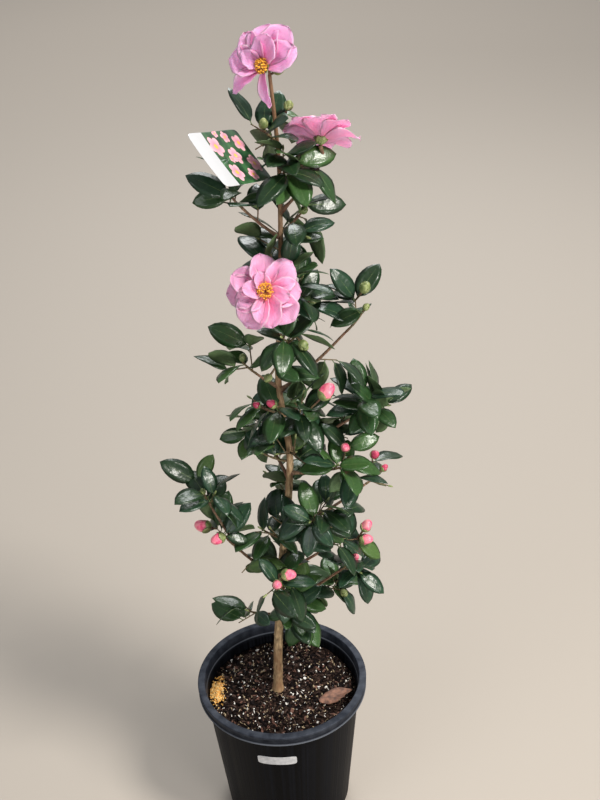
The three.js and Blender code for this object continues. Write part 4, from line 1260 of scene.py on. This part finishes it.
for along, across, size, turn in TAG_BLOSSOMS:
    card_colour = new_node(card_print, "ShaderNodeGroup", [
        ("Along", place_along), ("Across", place_across), ("Middle Along", along), ("Middle Across", across),
        ("Size", size), ("Turn", turn), ("Petal", PRINTED_PINK), ("Ground", card_colour),
    ], node_tree=blossom).outputs["Colour"]
margin_edge = TAG_MARGIN - TAG_LENGTH / 2
on_margin = scaled(card_print, place_along, margin_edge, margin_edge - 0.4)
feed(card_print, "Base Color", blended(card_print, on_margin, card_colour, (0.55, 0.56, 0.58, 1)))

card_white = mottled_material(
    "card_white", (0.56, 0.57, 0.57, 1), (0.70, 0.71, 0.71, 1), roughness=0.5, scale=60.0,
)


def second_skin(piece, marked, material):
    """Gives a piece a second material on the quads that are marked, in the order of its rings."""
    numbers = np.zeros(len(piece.data.polygons), np.int32)
    numbers[: marked.size] = marked.ravel()
    piece.data.materials.append(material)
    piece.data.polygons.foreach_set("material_index", numbers)


card = shell("tag_card", card_rings * MM, card_white)
on_face = np.arange(len(card_size) - 1) >= 4
second_skin(card, np.repeat(on_face, CARD_SIDES), card_print)
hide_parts("tag")

strap_green = mottled_material(
    "strap_green", (0.020, 0.075, 0.040, 1), (0.045, 0.135, 0.070, 1), roughness=0.4, scale=160.0,
    relief=0.0002,
)
strap_middle = strap_edge * 0.5 + hub * 0.5 + (0, 0, STRAP_BOW)
strap_way = smooth_line(np.array([strap_edge, strap_middle, hub]), 10)
strap_rings = limb_rings(strap_way, np.full(len(strap_way), STRAP_RADIUS), STRAP_SIDES)
strap = shell("tag_strap", strap_rings * MM, strap_green)
ring_out = trunk_radius(STRAP_HEIGHT) + STRAP_RING
ring_in = trunk_radius(STRAP_HEIGHT) + STRAP_RING_GAP
ring_top = STRAP_WIDTH / 2
ring_profile = rounded([
    (ring_in, 0.5 - ring_top), (ring_in, -ring_top), (ring_out, -ring_top), (ring_out, ring_top),
    (ring_in, ring_top), (ring_in, ring_top - 0.5),
], 0.8)
strap_ring_rings = turned_rings(ring_profile, STRAP_RING_SIDES) + hub
strap_ring = shell("tag_strap_ring", strap_ring_rings * MM, strap_green)


# Foliage: each mass grows from one stem, on the tip of a bough or on the trunk. Stems and side shoots carry
# glossy, leathery, dark green leaves at the golden turn, on short stalks, with their faces to the light.
# A mass: name, its foot on the trunk as (height, turn, rise), its stem's length, shoots, leaves on each, the
# length of the bud at its tip, and a seed.
MASSES = [
    ("low_left", None, 18, 1, 3, 0, 11),
    ("left", None, 22, 2, 4, 16, 12),
    ("left_up", None, 26, 2, 4, 9, 13),
    ("right_low", None, 26, 3, 4, 16, 14),
    ("right_fork", None, 24, 2, 4, 15, 15),
    ("right_back", None, 24, 2, 4, 9, 29),
    ("right_inner", None, 24, 2, 4, 0, 16),
    ("right_long", None, 30, 2, 3, 12, 17),
    ("right_mid_low", None, 26, 3, 4, 13, 18),
    ("right_mid", None, 34, 3, 4, 0, 19),
    ("right_upper", None, 40, 2, 4, 10, 20),
    ("left_mid", None, 26, 2, 4, 9, 21),
    ("upper_left", None, 18, 1, 4, 0, 23),
    ("back_low", None, 30, 3, 4, 14, 24),
    ("back_mid", None, 30, 3, 4, 0, 25),
    ("back_high", None, 28, 2, 4, 12, 26),
    ("front_low", None, 24, 2, 4, 17, 27),
    ("foot", (386, 306, 10), 44, 2, 4, 0, 28),
    ("left_inner", (496, 176, 26), 36, 1, 4, 0, 30),
    ("left_centre", (628, 196, 24), 42, 2, 4, 0, 31),
    ("front_centre", (642, 282, 26), 42, 3, 4, 0, 32),
    ("left_bud", (702, 204, 26), 40, 2, 3, 12, 33),
    ("right_bud", (684, 332, 36), 48, 2, 4, 21, 34),
    ("under_bloom", (764, 262, 34), 34, 1, 5, 10, 35),
    ("near_bloom", (800, 318, 34), 40, 2, 4, 11, 36),
    ("above_right", (862, 4, 44), 40, 2, 4, 0, 37),
    ("above_left", (902, 186, 36), 28, 1, 4, 0, 38),
    ("upper_back", (925, 84, 44), 38, 1, 4, 0, 39),
    ("upper_inner", (960, 344, 38), 38, 2, 3, 11, 40),
    ("below_side_bloom", (1030, 322, 34), 30, 1, 4, 0, 41),
    ("top_left", (1072, 202, 40), 24, 1, 5, 8, 45),
    ("top_right", (1092, 16, 38), 22, 1, 4, 9, 43),
]
MASS_ROOM = 66.0
MASS_CURL = 0.45
STEM_STEPS = 3
STEM_RADIUS = 1.8
SHOOT_RADIUS = 1.1
SHOOT_LENGTHS = (22, 34)
SHOOT_SPREAD = 54.0
LEAF_LENGTH = 54.0
LEAF_LENGTHS = (0.82, 1.15)
LEAF_BALL_HALF = 0.155
LEAF_ARCH = (0.35, 0.95)
FIRST_LEAF = 0.36
LAST_LEAF = 0.92
LEAF_SPREADS = (84, 44)
SPREAD_SLACK = (-8, 8)
LEAF_TILT = (-26, 26)
LEAF_LIFT = 0.06
TRY_TURN = 40
LEAF_SPOTS = [
    (0.22, 0, 0.25), (0.38, -0.5, 0.42), (0.38, 0.5, 0.42), (0.46, 0, 0.42), (0.55, -0.5, 0.42),
    (0.55, 0.5, 0.42), (0.64, 0, 0.42), (0.72, -0.35, 0.4), (0.72, 0.35, 0.4), (0.84, 0, 0.35),
    (0.96, 0, 0.25),
]
FINE_SPOTS = [(share, side, 1.0) for share in (0.22, 0.36, 0.5, 0.64, 0.78) for side in (-0.75, 0.0, 0.75)]
FINE_SPOTS += [(0.9, -0.4, 1.0), (0.9, 0.4, 1.0), (0.97, 0.0, 1.0)]
FINE_BALL = 1.7
FINE_HALF = 0.225

stems = {}
for name, place, reach, shoots, leaves, bud, seed in MASSES:
    way = heading(*place[1:]) if place else way_at(limbs[name], 1)
    foot = foot_of(place[0] if place else name, way)
    stems[name] = curling_line(foot, way, reach, MASS_CURL, STEM_STEPS)
    take(line_balls(stems[name], STEM_RADIUS, 0.25 if place else 0.05), name)


DICE_FACTOR = 16807
DICE_PRIME = 2147483647


def dice(seed):
    """A seeded stream of numbers from 0 to 1. Each comes of a whole number, which is the last one times the
    factor, less the multiples of the prime."""
    number = (seed * 7919 + 17) * DICE_FACTOR % DICE_PRIME
    while True:
        number = number * DICE_FACTOR % DICE_PRIME
        yield number / DICE_PRIME


def between(rolls, low, high):
    """The next roll, as a number between low and high."""
    return low + (high - low) * next(rolls)


def shoots_of(line, name, count, rolls, first=0.25, span=0.6):
    """The side shoots of a limb, spaced at the golden turn over a span of its length. One in the way of
    another limb is left out."""
    lines = []
    first_turn = 360 * next(rolls)
    for k in range(count):
        share = first + span * k / count
        along = way_at(line, share)
        out = round_about(along, first_turn + GOLDEN_TURN * k)
        way = leaning(along, out, SHOOT_SPREAD + between(rolls, *SPREAD_SLACK))
        length = between(rolls, *SHOOT_LENGTHS)
        shoot = curling_line(along_line(line, share), way, length, MASS_CURL, 1)
        balls = line_balls(shoot, SHOOT_RADIUS, 0.3)
        if is_clear(balls, name):
            take(balls, name)
            lines.append(shoot)
    return lines


def leaf_on(line, share, turn, spread, rolls):
    """A leaf that leaves a twig at a share of its length, with its upper face turned to the light."""
    along = way_at(line, share)
    way = unit(leaning(along, round_about(along, turn), spread) + UP * LEAF_LIFT)
    face = face_to(along * 0.45 + UP * 0.85, way)
    return new_blade(
        along_line(line, share), way, turned(face, way, between(rolls, *LEAF_TILT)),
        LEAF_LENGTH * between(rolls, *LEAF_LENGTHS), between(rolls, *LEAF_ARCH),
    )


def coarse_balls(leaf):
    """The balls that the rule of the solids lays over a leaf."""
    half = leaf["length"] * LEAF_BALL_HALF
    return blade_balls(leaf, LEAF_SPOTS, half, half)


def fine_balls(leaf):
    """Smaller balls over the whole width of a leaf, so that others can grow closer by."""
    return blade_balls(leaf, FINE_SPOTS, leaf["length"] * FINE_HALF, FINE_BALL)


def is_wanted(leaf, places):
    """Whether a leaf's middle lies in one of some places, (x, height, reach), seen from the front or back:
    its distance is the root of dx squared, dz squared and a third of y squared."""
    x, y, z = leaf["root"] + leaf["way"] * leaf["length"] / 2
    return any((x - a) ** 2 + (z - b) ** 2 + y**2 / 3 < reach**2 for a, b, reach in places)


def leaves_on(line, count, name, rolls, balls_of=coarse_balls, middle=None, tries_each=4, places=None):
    """The leaves of a twig, from its tip back. One that would leave the room round a mass's middle, or the
    places that are wanted, or touch something, is tried again further round the twig, and then left out."""
    grown = []
    first_turn = 360 * next(rolls)
    for j in range(count - 1, -1, -1):
        place = j / (count - 1)
        for tries in range(tries_each):
            turn = first_turn + GOLDEN_TURN * j + TRY_TURN * tries
            spread = np.interp(place, (0, 1), LEAF_SPREADS) + between(rolls, *SPREAD_SLACK)
            leaf = leaf_on(line, np.interp(place, (0, 1), (FIRST_LEAF, LAST_LEAF)), turn, spread, rolls)
            balls = balls_of(leaf)
            if middle is not None and np.linalg.norm(balls[0][-1] - middle) > MASS_ROOM:
                continue
            if places and not is_wanted(leaf, places):
                continue
            if is_clear(balls, name):
                take(balls, name)
                grown.append(leaf)
                break
    return grown


limb_balls = (taken_at, taken_radius, taken_owner)
sprays = []
mass_twigs = {}
for name, place, reach, shoots, leaves, bud, seed in MASSES:
    rolls = dice(seed)
    middle = along_line(stems[name], 0.8)
    mass_twigs[name] = [stems[name]] + shoots_of(stems[name], name, shoots, rolls)
    for number, line in enumerate(mass_twigs[name]):
        grown = leaves_on(line, leaves + (number == 0), name, rolls, middle=middle)
        sprays.append((name, line, SHOOT_RADIUS if number else STEM_RADIUS, grown))

# Leaves at some twigs' tips, which stand out at the crown's edge with their faces turned to the front:
# (mass, twig, way round, rise, length).
EDGE_LEAVES = [
    ("right_upper", 2, 190, 62, 54), ("right_upper", 2, 28, 50, 58), ("right_upper", 0, 195, -12, 48),
    ("left_mid", 1, 182, 38, 60), ("left_mid", 1, 200, 20, 50), ("left_up", 2, 184, 42, 60),
    ("left_up", 2, 20, 60, 44), ("right_fork", 2, 25, 30, 50), ("right_fork", 2, 340, -35, 48),
    ("upper_left", 0, 184, 36, 60), ("upper_left", 0, 186, 3, 48), ("back_mid", 1, 186, -5, 44),
    ("upper_inner", 2, 0, 5, 55), ("below_side_bloom", 0, 8, 12, 54), ("right_mid_low", 3, 5, 20, 48),
    ("left", 1, 40, 68, 56), ("left", 0, 20, 48, 58), ("left", 0, 350, -10, 36),
    ("foot", 1, 300, -35, 62), ("top_right", 0, 5, 20, 36), ("trunk", 0, 15, 40, 32),
]
EDGE_ARCH = 0.5
mass_twigs["trunk"] = [trunk_line]
edge_sprays = []
for name, twig, turn, rise, length in EDGE_LEAVES:
    line = mass_twigs[name][twig]
    way = heading(turn, rise)
    face = face_to(way_at(line, 1) * 0.2 + UP * 0.6 + (0.0, -0.75, 0.0), way)
    edge_sprays.append((name, line, 0, [new_blade(line[-1], way, face, length, EDGE_ARCH)]))

# Finer growth between these sprays: more shoots on the stems, on the leaves' own sprays and on the trunk, and
# leaves along the boughs. All of it keeps clear of what has grown, which is now felt out more finely.
FINE_TRIES = 9
FINE_LEAVES = 4
FINE_SEED = 500
SPUR_SEED = 900
SPURS = 36
taken_at, taken_radius, taken_owner = limb_balls
for name, line, radius, leaves in edge_sprays:
    take(fine_balls(leaves[0]), "edge")
edge_at = taken_at[-len(FINE_SPOTS) * len(EDGE_LEAVES) :]


def is_off_edge(leaf):
    """Whether a leaf stays clear of the edge leaves, ball from ball."""
    return np.linalg.norm(fine_balls(leaf)[0][:, None] - edge_at, axis=-1).min() > 2 * FINE_BALL


def with_leaves(sprays, is_kept):
    """Sprays, each with only the leaves that are kept."""
    return [(name, line, radius, list(filter(is_kept, leaves))) for name, line, radius, leaves in sprays]


sprays = with_leaves(sprays, is_off_edge)
for name, line, radius, leaves in sprays:
    take(line_balls(line, radius, 0.3), name)
    for leaf in leaves:
        take(fine_balls(leaf), name)
FULL_PLACES = [
    (81, 711, 60), (134, 744, 40), (120, 895, 30), (92, 842, 34), (-50, 835, 30), (-109, 637, 30),
    (-27, 556, 38), (-7, 470, 40), (-61, 374, 46), (149, 514, 32), (9, 1045, 42), (33, 386, 50),
    (26, 676, 40), (57, 560, 46), (55, 927, 32), (3, 1123, 26), (80, 1040, 26),
]
sprays += edge_sprays


def grow_finer(lines, name, rolls, radius):
    """Sprays on some twigs, of up to four leaves each, in the crown's fuller places, and no bare twigs."""
    for line in lines:
        grown = leaves_on(
            line, FINE_LEAVES, name, rolls, balls_of=fine_balls, tries_each=FINE_TRIES, places=FULL_PLACES,
        )
        if grown:
            sprays.append((name, line, radius, grown))


for name, place, reach, shoots, leaves, bud, seed in MASSES:
    rolls = dice(seed + FINE_SEED)
    finer = shoots_of(stems[name], name, 3, rolls)
    for line in mass_twigs[name][1:]:
        finer += shoots_of(line, name, 1, rolls, 0.4)
    if not place:
        finer += shoots_of(limbs[name], name, 4, rolls, 0.2, 0.75)
    grow_finer(finer, name, rolls, 0.9 * SHOOT_RADIUS)
    grow_finer(mass_twigs[name], name, rolls, 0)
spur_rolls = dice(SPUR_SEED)
spurs = shoots_of(trunk_line, "trunk", SPURS, spur_rolls, 0.15, 0.80)
grow_finer(spurs, "trunk", spur_rolls, SHOOT_RADIUS)

# Flower buds stand on short stalks at the tips of twigs: (mass, twig, way round, rise, stalk, length).
FLOWER_BUDS = {
    "buds_pink": [
        ("right_bud", 0, 0, 42, 24, 26), ("left", 1, 176, 8, 10, 24), ("left", 0, 205, -20, 1, 21),
        ("right_fork", 2, 350, 55, 20, 20), ("right_fork", 2, 340, 0, 6, 20),
        ("front_low", 1, 350, -10, 4, 21), ("right_mid_low", 3, 250, 40, 1, 16),
    ],
    "buds_crimson": [("right_long", 2, 300, 30, 3, 16), ("left_bud", 1, 200, 30, 6, 15)],
    "buds_green": [
        ("left_mid", 0, 60, 60, 1, 11), ("near_bloom", 0, 320, -50, 9, 15),
        ("right_upper", 2, 330, 52, 18, 17), ("right_back", 1, 300, -20, 1, 13),
        ("under_bloom", 0, 210, -50, 12, 12), ("top_left", 0, 60, 70, 1, 13),
        ("top_right", 0, 300, 60, 1, 13), ("trunk", 0, 345, 25, 7, 15),
    ],
}
BUD_STALK_CURL = 0.3
BUD_STALK_STEPS = 3
PINK_BUD_OVER = 14
CRIMSON_BUD_OVER = 11
BUD_GIRTH = 0.36
with_bud = {row[:2] for rows in FLOWER_BUDS.values() for row in rows}
bud_tips = []
stalk_lines = []
for piece, rows in FLOWER_BUDS.items():
    for name, twig, turn, rise, stalk, length in rows:
        foot = mass_twigs[name][twig][-1]
        line = curling_line(foot, heading(turn, rise), stalk, BUD_STALK_CURL, BUD_STALK_STEPS)
        bud_tips.append((line[-1], way_at(line, 1), length, piece))
        stalk_lines.append(line)
for name, place, reach, shoots, leaves, bud, seed in MASSES:
    piece = "buds_green"
    if bud > PINK_BUD_OVER:
        piece = "buds_pink"
    elif bud > CRIMSON_BUD_OVER:
        piece = "buds_crimson"
    for number, line in enumerate(mass_twigs[name]):
        if (name, number) not in with_bud:
            bud_tips.append((line[-1], way_at(line, 1), 0 if number else bud, piece))

# A leaf that would hide the picture tag or a flower bud from the front is picked off, and the crown is
# thinned where one sees through it or sees the trunk: (x, height, reach) of a place level with the trunk.
GAP_PLACES = [
    (-23, 984, 16), (93, 956, 15), (-28, 750, 17), (132, 797, 24), (153, 828, 15), (-23, 607, 30),
    (-14, 515, 17), (-96, 484, 18), (-54, 462, 16), (-37, 417, 27), (83, 364, 20), (-46, 350, 19),
    (-77, 341, 18), (183, 602, 16), (-70, 317, 24), (-32, 313, 21), (49, 729, 8), (84, 374, 16),
    (-73, 463, 13), (76, 775, 12), (177, 708, 12), (148, 560, 13), (170, 545, 20), (-110, 575, 6),
    (-112, 561, 6), (-118, 605, 9), (160, 846, 9), (-43, 514, 6), (-33, 497, 6), (-47, 484, 6),
    (-2, 343, 6), (12, 332, 9), (142, 585, 6), (-47, 978, 10), (-39, 990, 7), (-54, 967, 6),
    (-10, 571, 12), (-20, 553, 10), (0, 612, 12), (3, 583, 12), (46, 601, 13), (46, 574, 14),
    (63, 609, 9), (41, 553, 9), (72, 559, 9),
]
TRUNK_PLACES = [(24, 652, 15), (23, 630, 19), (23, 604, 21), (22, 577, 20), (20, 550, 14)]
ANY_DEPTH = -500.0
TAG_PLACES = [(0, 14, 46.0), (-40, 0, 44.0)]
BEHIND_TAG = -8.0
BEHIND_BUD = -5.0
BUD_ROOM = 2
kept_open = [(np.array([x, 0.0, height]), reach, ANY_DEPTH) for x, height, reach in GAP_PLACES]
kept_open += [(np.array([x, 0.0, height]), reach, 0.0) for x, height, reach in TRUNK_PLACES]
kept_open += [
    (TAG_MIDDLE + along * tag_long + across * tag_across, reach, BEHIND_TAG)
    for along, across, reach in TAG_PLACES
]
shown_buds = [
    (tip + share * length * way, BUD_GIRTH * length + BUD_ROOM, BEHIND_BUD)
    for tip, way, length, piece in bud_tips[: len(stalk_lines)]
    for share in (0.25, 0.65)
]


def is_before(spots, place, reach, least):
    """Whether any of some spots lies at least so much nearer the viewer than a place, or no further beyond
    it than -least, and within a reach of the line of sight to it."""
    sight = unit(np.array(CAMERA_PLACE) / MM - place)
    ahead = (spots - place) @ sight
    aside = np.linalg.norm(spots - place - ahead[:, None] * sight, axis=1)
    return bool(((ahead > least) & (aside < reach)).any())


def is_left_on(leaf):
    """Whether no open place lies behind a leaf's middle, and no shown bud behind any spot of it."""
    middle = leaf["root"] + leaf["way"] * leaf["length"] / 2
    spots = fine_balls(leaf)[0]
    return not any(is_before(middle[None], *shown) for shown in kept_open) and not any(
        is_before(spots, *shown) for shown in shown_buds
    )


sprays = with_leaves(sprays, is_left_on)


def carries(line, feet):
    """Whether any of some points lies on a line's straight run, within 2 mm."""
    run = line[-1] - line[0]
    share = np.clip((feet - line[0]) @ run / (run @ run), 0, 1)
    return bool((np.linalg.norm(feet - line[0] - share[:, None] * run, axis=1) < 2).any())


# A twig stays where it is a stem, or has leaves or a bud on it, or another twig that has.
while True:
    feet = np.array([line[0] for name, line, radius, leaves in sprays if radius])
    feet = np.concatenate([feet, [line[0] for line in stalk_lines]])
    kept = []
    for name, line, radius, leaves in sprays:
        others = feet[np.linalg.norm(feet - line[0], axis=1) > 0.5]
        if leaves or (radius and (line is mass_twigs[name][0] or carries(line, others))):
            kept.append((name, line, radius, leaves))
    if len(kept) == len(sprays):
        break
    sprays = kept
kept_tips = [line[-1] for name, line, radius, leaves in sprays if radius]
bud_tips = [
    (place, way, length, piece) for place, way, length, piece in bud_tips
    if length or min(np.linalg.norm(place - tip) for tip in kept_tips) < 0.5
]

TWIG_RINGS = 12
TWIG_SIDES = 5
TWIG_TIP = 0.78
BUD_STALK_RADII = (1.2, 1.7)
twig_rings = []
for number, (name, line, radius, leaves) in enumerate(row for row in sprays if row[2]):
    way, gone = evenly(smooth_line(line, 8), 0.5)
    picked = np.linspace(0, len(way) - 1, TWIG_RINGS).astype(int)
    swell = 1 + 0.10 * np.sin(np.arange(TWIG_RINGS) * 2.1 + number)
    girth = np.linspace(radius, TWIG_TIP * radius, TWIG_RINGS) * swell
    twig_rings.append(limb_rings(way[picked], girth, TWIG_SIDES))
for line in stalk_lines:
    way = smooth_line(line, 4)[:TWIG_RINGS]
    twig_rings.append(limb_rings(way, np.linspace(*BUD_STALK_RADII, TWIG_RINGS), TWIG_SIDES))
twig_bark = new_bark(
    "twig_bark", (0.060, 0.045, 0.020, 1), (0.200, 0.150, 0.070, 1), (0.120, 0.060, 0.034, 1), 1.0,
)
twigs = shell("foliage_twigs", np.array(twig_rings) * MM, twig_bark)
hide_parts(*["foliage_" + row[0] for row in MASSES])

# A leaf green: name, share of the sprays, and colour.
LEAF_SHADES = [
    ("leaves_deep", 0.32, (0.013, 0.034, 0.013, 1)),
    ("leaves_blue", 0.26, (0.016, 0.045, 0.022, 1)),
    ("leaves_full", 0.24, (0.023, 0.060, 0.018, 1)),
    ("leaves_fresh", 0.13, (0.036, 0.088, 0.022, 1)),
    ("leaves_light", 0.05, (0.064, 0.122, 0.030, 1)),
]
LEAF_RINGS = 9
LEAF_ACROSS = 4
LEAF_HALF = 0.25
LEAF_THICK = 0.5
PETIOLE = 0.085
LEAF_TWIST = (-0.4, 0.4)
shade_draw = np.random.default_rng(200)
spray_shades = shade_draw.choice(len(LEAF_SHADES), len(sprays), p=[row[1] for row in LEAF_SHADES])
leaf_draw = np.random.default_rng(201)


def leaf_lift(blades, share, across, seed):
    """How far a leaf's surface lies above its flat blade: a fold along the rib, by |x|, whose sides turn back
    down as x squared, a slow wave along each side, and a quilting between the side veins, row by row."""
    count = len(blades["length"])
    draw = np.random.default_rng(seed).uniform(0, 1, (5, count, 1, 1))
    length = blades["length"][:, None, None]
    side = np.abs(across)
    fold = (0.030 + 0.055 * draw[0]) * side - (0.028 + 0.03 * draw[1]) * across**2
    wave = 0.014 * across**2 * np.sin((7 + 5 * draw[2]) * share + 6.3 * draw[3] + 0.7 * np.sign(across))
    rows = (-1.0) ** np.arange(share.shape[1])[None, :, None]
    quilt = 0.0030 * rows * (1 - (2 * side - 1) ** 2)
    return length * np.sin(np.pi * np.clip(share, 0, 1)) ** 0.6 * (fold + wave + quilt)


def leaf_rings(blades, seed):
    """Leaves as closed shells. From the end of the stalk, s goes from 0 to 1, and the half width is
    2.87 s^0.72 (1 - s)^0.8 of its greatest."""
    across, face = loop_across(LEAF_ACROSS)
    gone = shares_along(len(blades["length"]), LEAF_RINGS)
    share = PETIOLE + (1 - PETIOLE) * gone
    outline = 2.87 * gone**0.72 * (1 - gone) ** 0.8 + 0.008
    half = LEAF_HALF * blades["length"][:, None, None] * outline
    lift = leaf_lift(blades, share, across, seed) + 0.5 * LEAF_THICK * face
    return blade_points(blades, share, across * half, lift)


RIB_RINGS = 8
RIB_SIDES = 4


def rib_rings(blades, seed):
    """The stalk and midrib of leaves: one tube along the fold, 0.75 mm in radius at its foot, a little more
    just above and 0.28 mm at its tip."""
    share = shares_along(len(blades["length"]), RIB_RINGS, 0.955)
    angle = whole_turn(RIB_SIDES)
    radius = np.interp(share, (0, 0.05, 0.12, 0.5, 0.955), (0.75, 0.85, 0.62, 0.46, 0.28))
    over = leaf_lift(blades, share, 0 * angle, seed)
    return blade_points(blades, share, radius * np.cos(angle), over + radius * np.sin(angle))


leaf_under = mottled_material(
    "leaf_underside", (0.075, 0.130, 0.050, 1), (0.105, 0.170, 0.070, 1), roughness=0.6, scale=200.0,
    relief=0.0002,
)
all_ribs = []
for shade, (name, part, colour) in enumerate(LEAF_SHADES):
    blades = []
    masses = set()
    for (mass, line, radius, leaves), dealt in zip(sprays, spray_shades):
        if dealt == shade and leaves:
            blades += leaves
            if mass in stems:
                masses.add("foliage_" + mass)
    blades = stacked(blades)
    blades["twist"] = leaf_draw.uniform(*LEAF_TWIST, len(blades["length"]))
    leaf_skin = mottled_material(
        name, shaded(colour, 0.86), shaded(colour, 1.14), roughness=0.31, scale=260.0, specular=0.48,
        Detail=5.0, Low=0.3, High=0.7,
    )
    leaf_swell = mottle(leaf_skin, coordinates(leaf_skin), Scale=110.0, Detail=2.0, Low=0.2, High=0.8)
    add_bump(leaf_skin, leaf_swell.outputs["Height"], 0.0011, 0.6)
    leaves_piece = shell(name, leaf_rings(blades, 210 + shade) * MM, leaf_skin)
    columns = np.arange(2 * LEAF_ACROSS) >= LEAF_ACROSS
    rows_of_all = len(blades["length"]) * (LEAF_RINGS - 1)
    second_skin(leaves_piece, np.tile(columns, rows_of_all), leaf_under)
    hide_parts(*sorted(masses))
    all_ribs.append(rib_rings(blades, 210 + shade))

rib_green = mottled_material(
    "leaf_rib_green", (0.070, 0.120, 0.035, 1), (0.150, 0.215, 0.070, 1), roughness=0.5, scale=180.0,
)
ribs = shell("leaf_ribs", np.concatenate(all_ribs) * MM, rib_green)


# Buds: at the tip of most twigs, a slim leaf bud, and at some stems' tips a fat flower bud, wrapped in green
# scales that give way to rolled pink petals as it opens.
BUD_SET_IN = 0.08
BUD_RINGS = 15
BUD_SIDES = 20
SLIM_BUD_LENGTH = 8.5
SLIM_BUD_GIRTH = 0.17
SLIM_BUD_FOLD = 0.05
BUD_SCALE_RINGS = 8
BUD_SCALE_ACROSS = 6


def bud_wall(share):
    """A bud's radius at a share s of its length, as a share of its greatest: an egg, blunt at both ends, from
    the sine of pi s^0.88 to the power 0.45."""
    return np.sin(np.pi * (0.02 + 0.965 * share) ** 0.88) ** 0.45


def bud_rings(tip, way, length, girth, fold):
    """A bud as a closed tube, set a little over its twig's tip, with three rolled edges that wind round it as
    a saw of height fold."""
    across = round_about(way, 0)
    over = np.cross(way, across)
    share = np.linspace(0, 1, BUD_RINGS)[:, None]
    angle = whole_turn(BUD_SIDES)
    saw = (3 * angle / (2 * np.pi) + 1.1 * share) % 1.0
    radius = girth * length * bud_wall(share) * (1 + fold * (saw - 0.5))
    out = across * np.cos(angle)[:, None] + over * np.sin(angle)[:, None]
    return tip + way * (share * length - BUD_SET_IN * length)[..., None] + out * radius[..., None]


def bud_scales(tip, way, length, girth, count, reach, seed):
    """Scales that clasp a bud: each is a closed shell that follows the bud's wall just outside it, as wide as
    a root of 1 - s squared, in turns a golden turn apart, with each further up than the last."""
    across = round_about(way, 0)
    over = np.cross(way, across)
    made = []
    side, face = loop_across(BUD_SCALE_ACROSS)
    for k in range(count):
        gone = np.linspace(0, 1, BUD_SCALE_RINGS)[:, None] + 0 * side
        share = 0.02 + (reach * (0.55 + 0.45 * (k + 1) / count)) * gone
        turn = np.radians(GOLDEN_TURN * k + 60 * seed)
        angle = turn + side * 1.05 * np.sqrt(np.clip(1.02 - gone**2, 0, 1))
        wall = girth * length * bud_wall(share)
        radius = wall * (1.02 + 0.012 * k) + 0.22 * (1 + face) + 0.25 * gone
        out = across * np.cos(angle)[..., None] + over * np.sin(angle)[..., None]
        made.append(tip + way * (share * length - BUD_SET_IN * length)[..., None] + out * radius[..., None])
    return made


# A kind of bud: name, dark and light tone, height of its folds, how many scales, and their reach along it.
BUD_KINDS = [
    ("buds_pink", (0.70, 0.050, 0.165, 1), (0.92, 0.34, 0.38, 1), 0.13, 7, 0.46),
    ("buds_crimson", (0.36, 0.022, 0.070, 1), (0.60, 0.075, 0.150, 1), 0.14, 7, 0.52),
    ("buds_green", (0.130, 0.170, 0.050, 1), (0.300, 0.340, 0.130, 1), 0.06, 8, 0.86),
]
scale_rings = []
for kind, (name, dark, light, fold, scales, reach) in enumerate(BUD_KINDS):
    found = [(tip, way, length) for tip, way, length, piece in bud_tips if length and piece == name]
    bud_skin = mottled_material(name, dark, light, roughness=0.42, scale=140.0, relief=0.0003, High=0.68)
    rings = [bud_rings(tip, way, length, BUD_GIRTH, fold) for tip, way, length in found]
    buds = shell(name, np.array(rings) * MM, bud_skin)
    for number, (tip, way, length) in enumerate(found):
        scale_rings += bud_scales(tip, way, length, BUD_GIRTH, scales, reach, number)
bud_scale_piece = shell("bud_scales", np.array(scale_rings) * MM, green_scale)

slim_rings = [
    bud_rings(tip, way, SLIM_BUD_LENGTH, SLIM_BUD_GIRTH, SLIM_BUD_FOLD)
    for tip, way, length, piece in bud_tips
    if not length
]
slim_buds = shell("leaf_buds", np.array(slim_rings) * MM, green_scale)
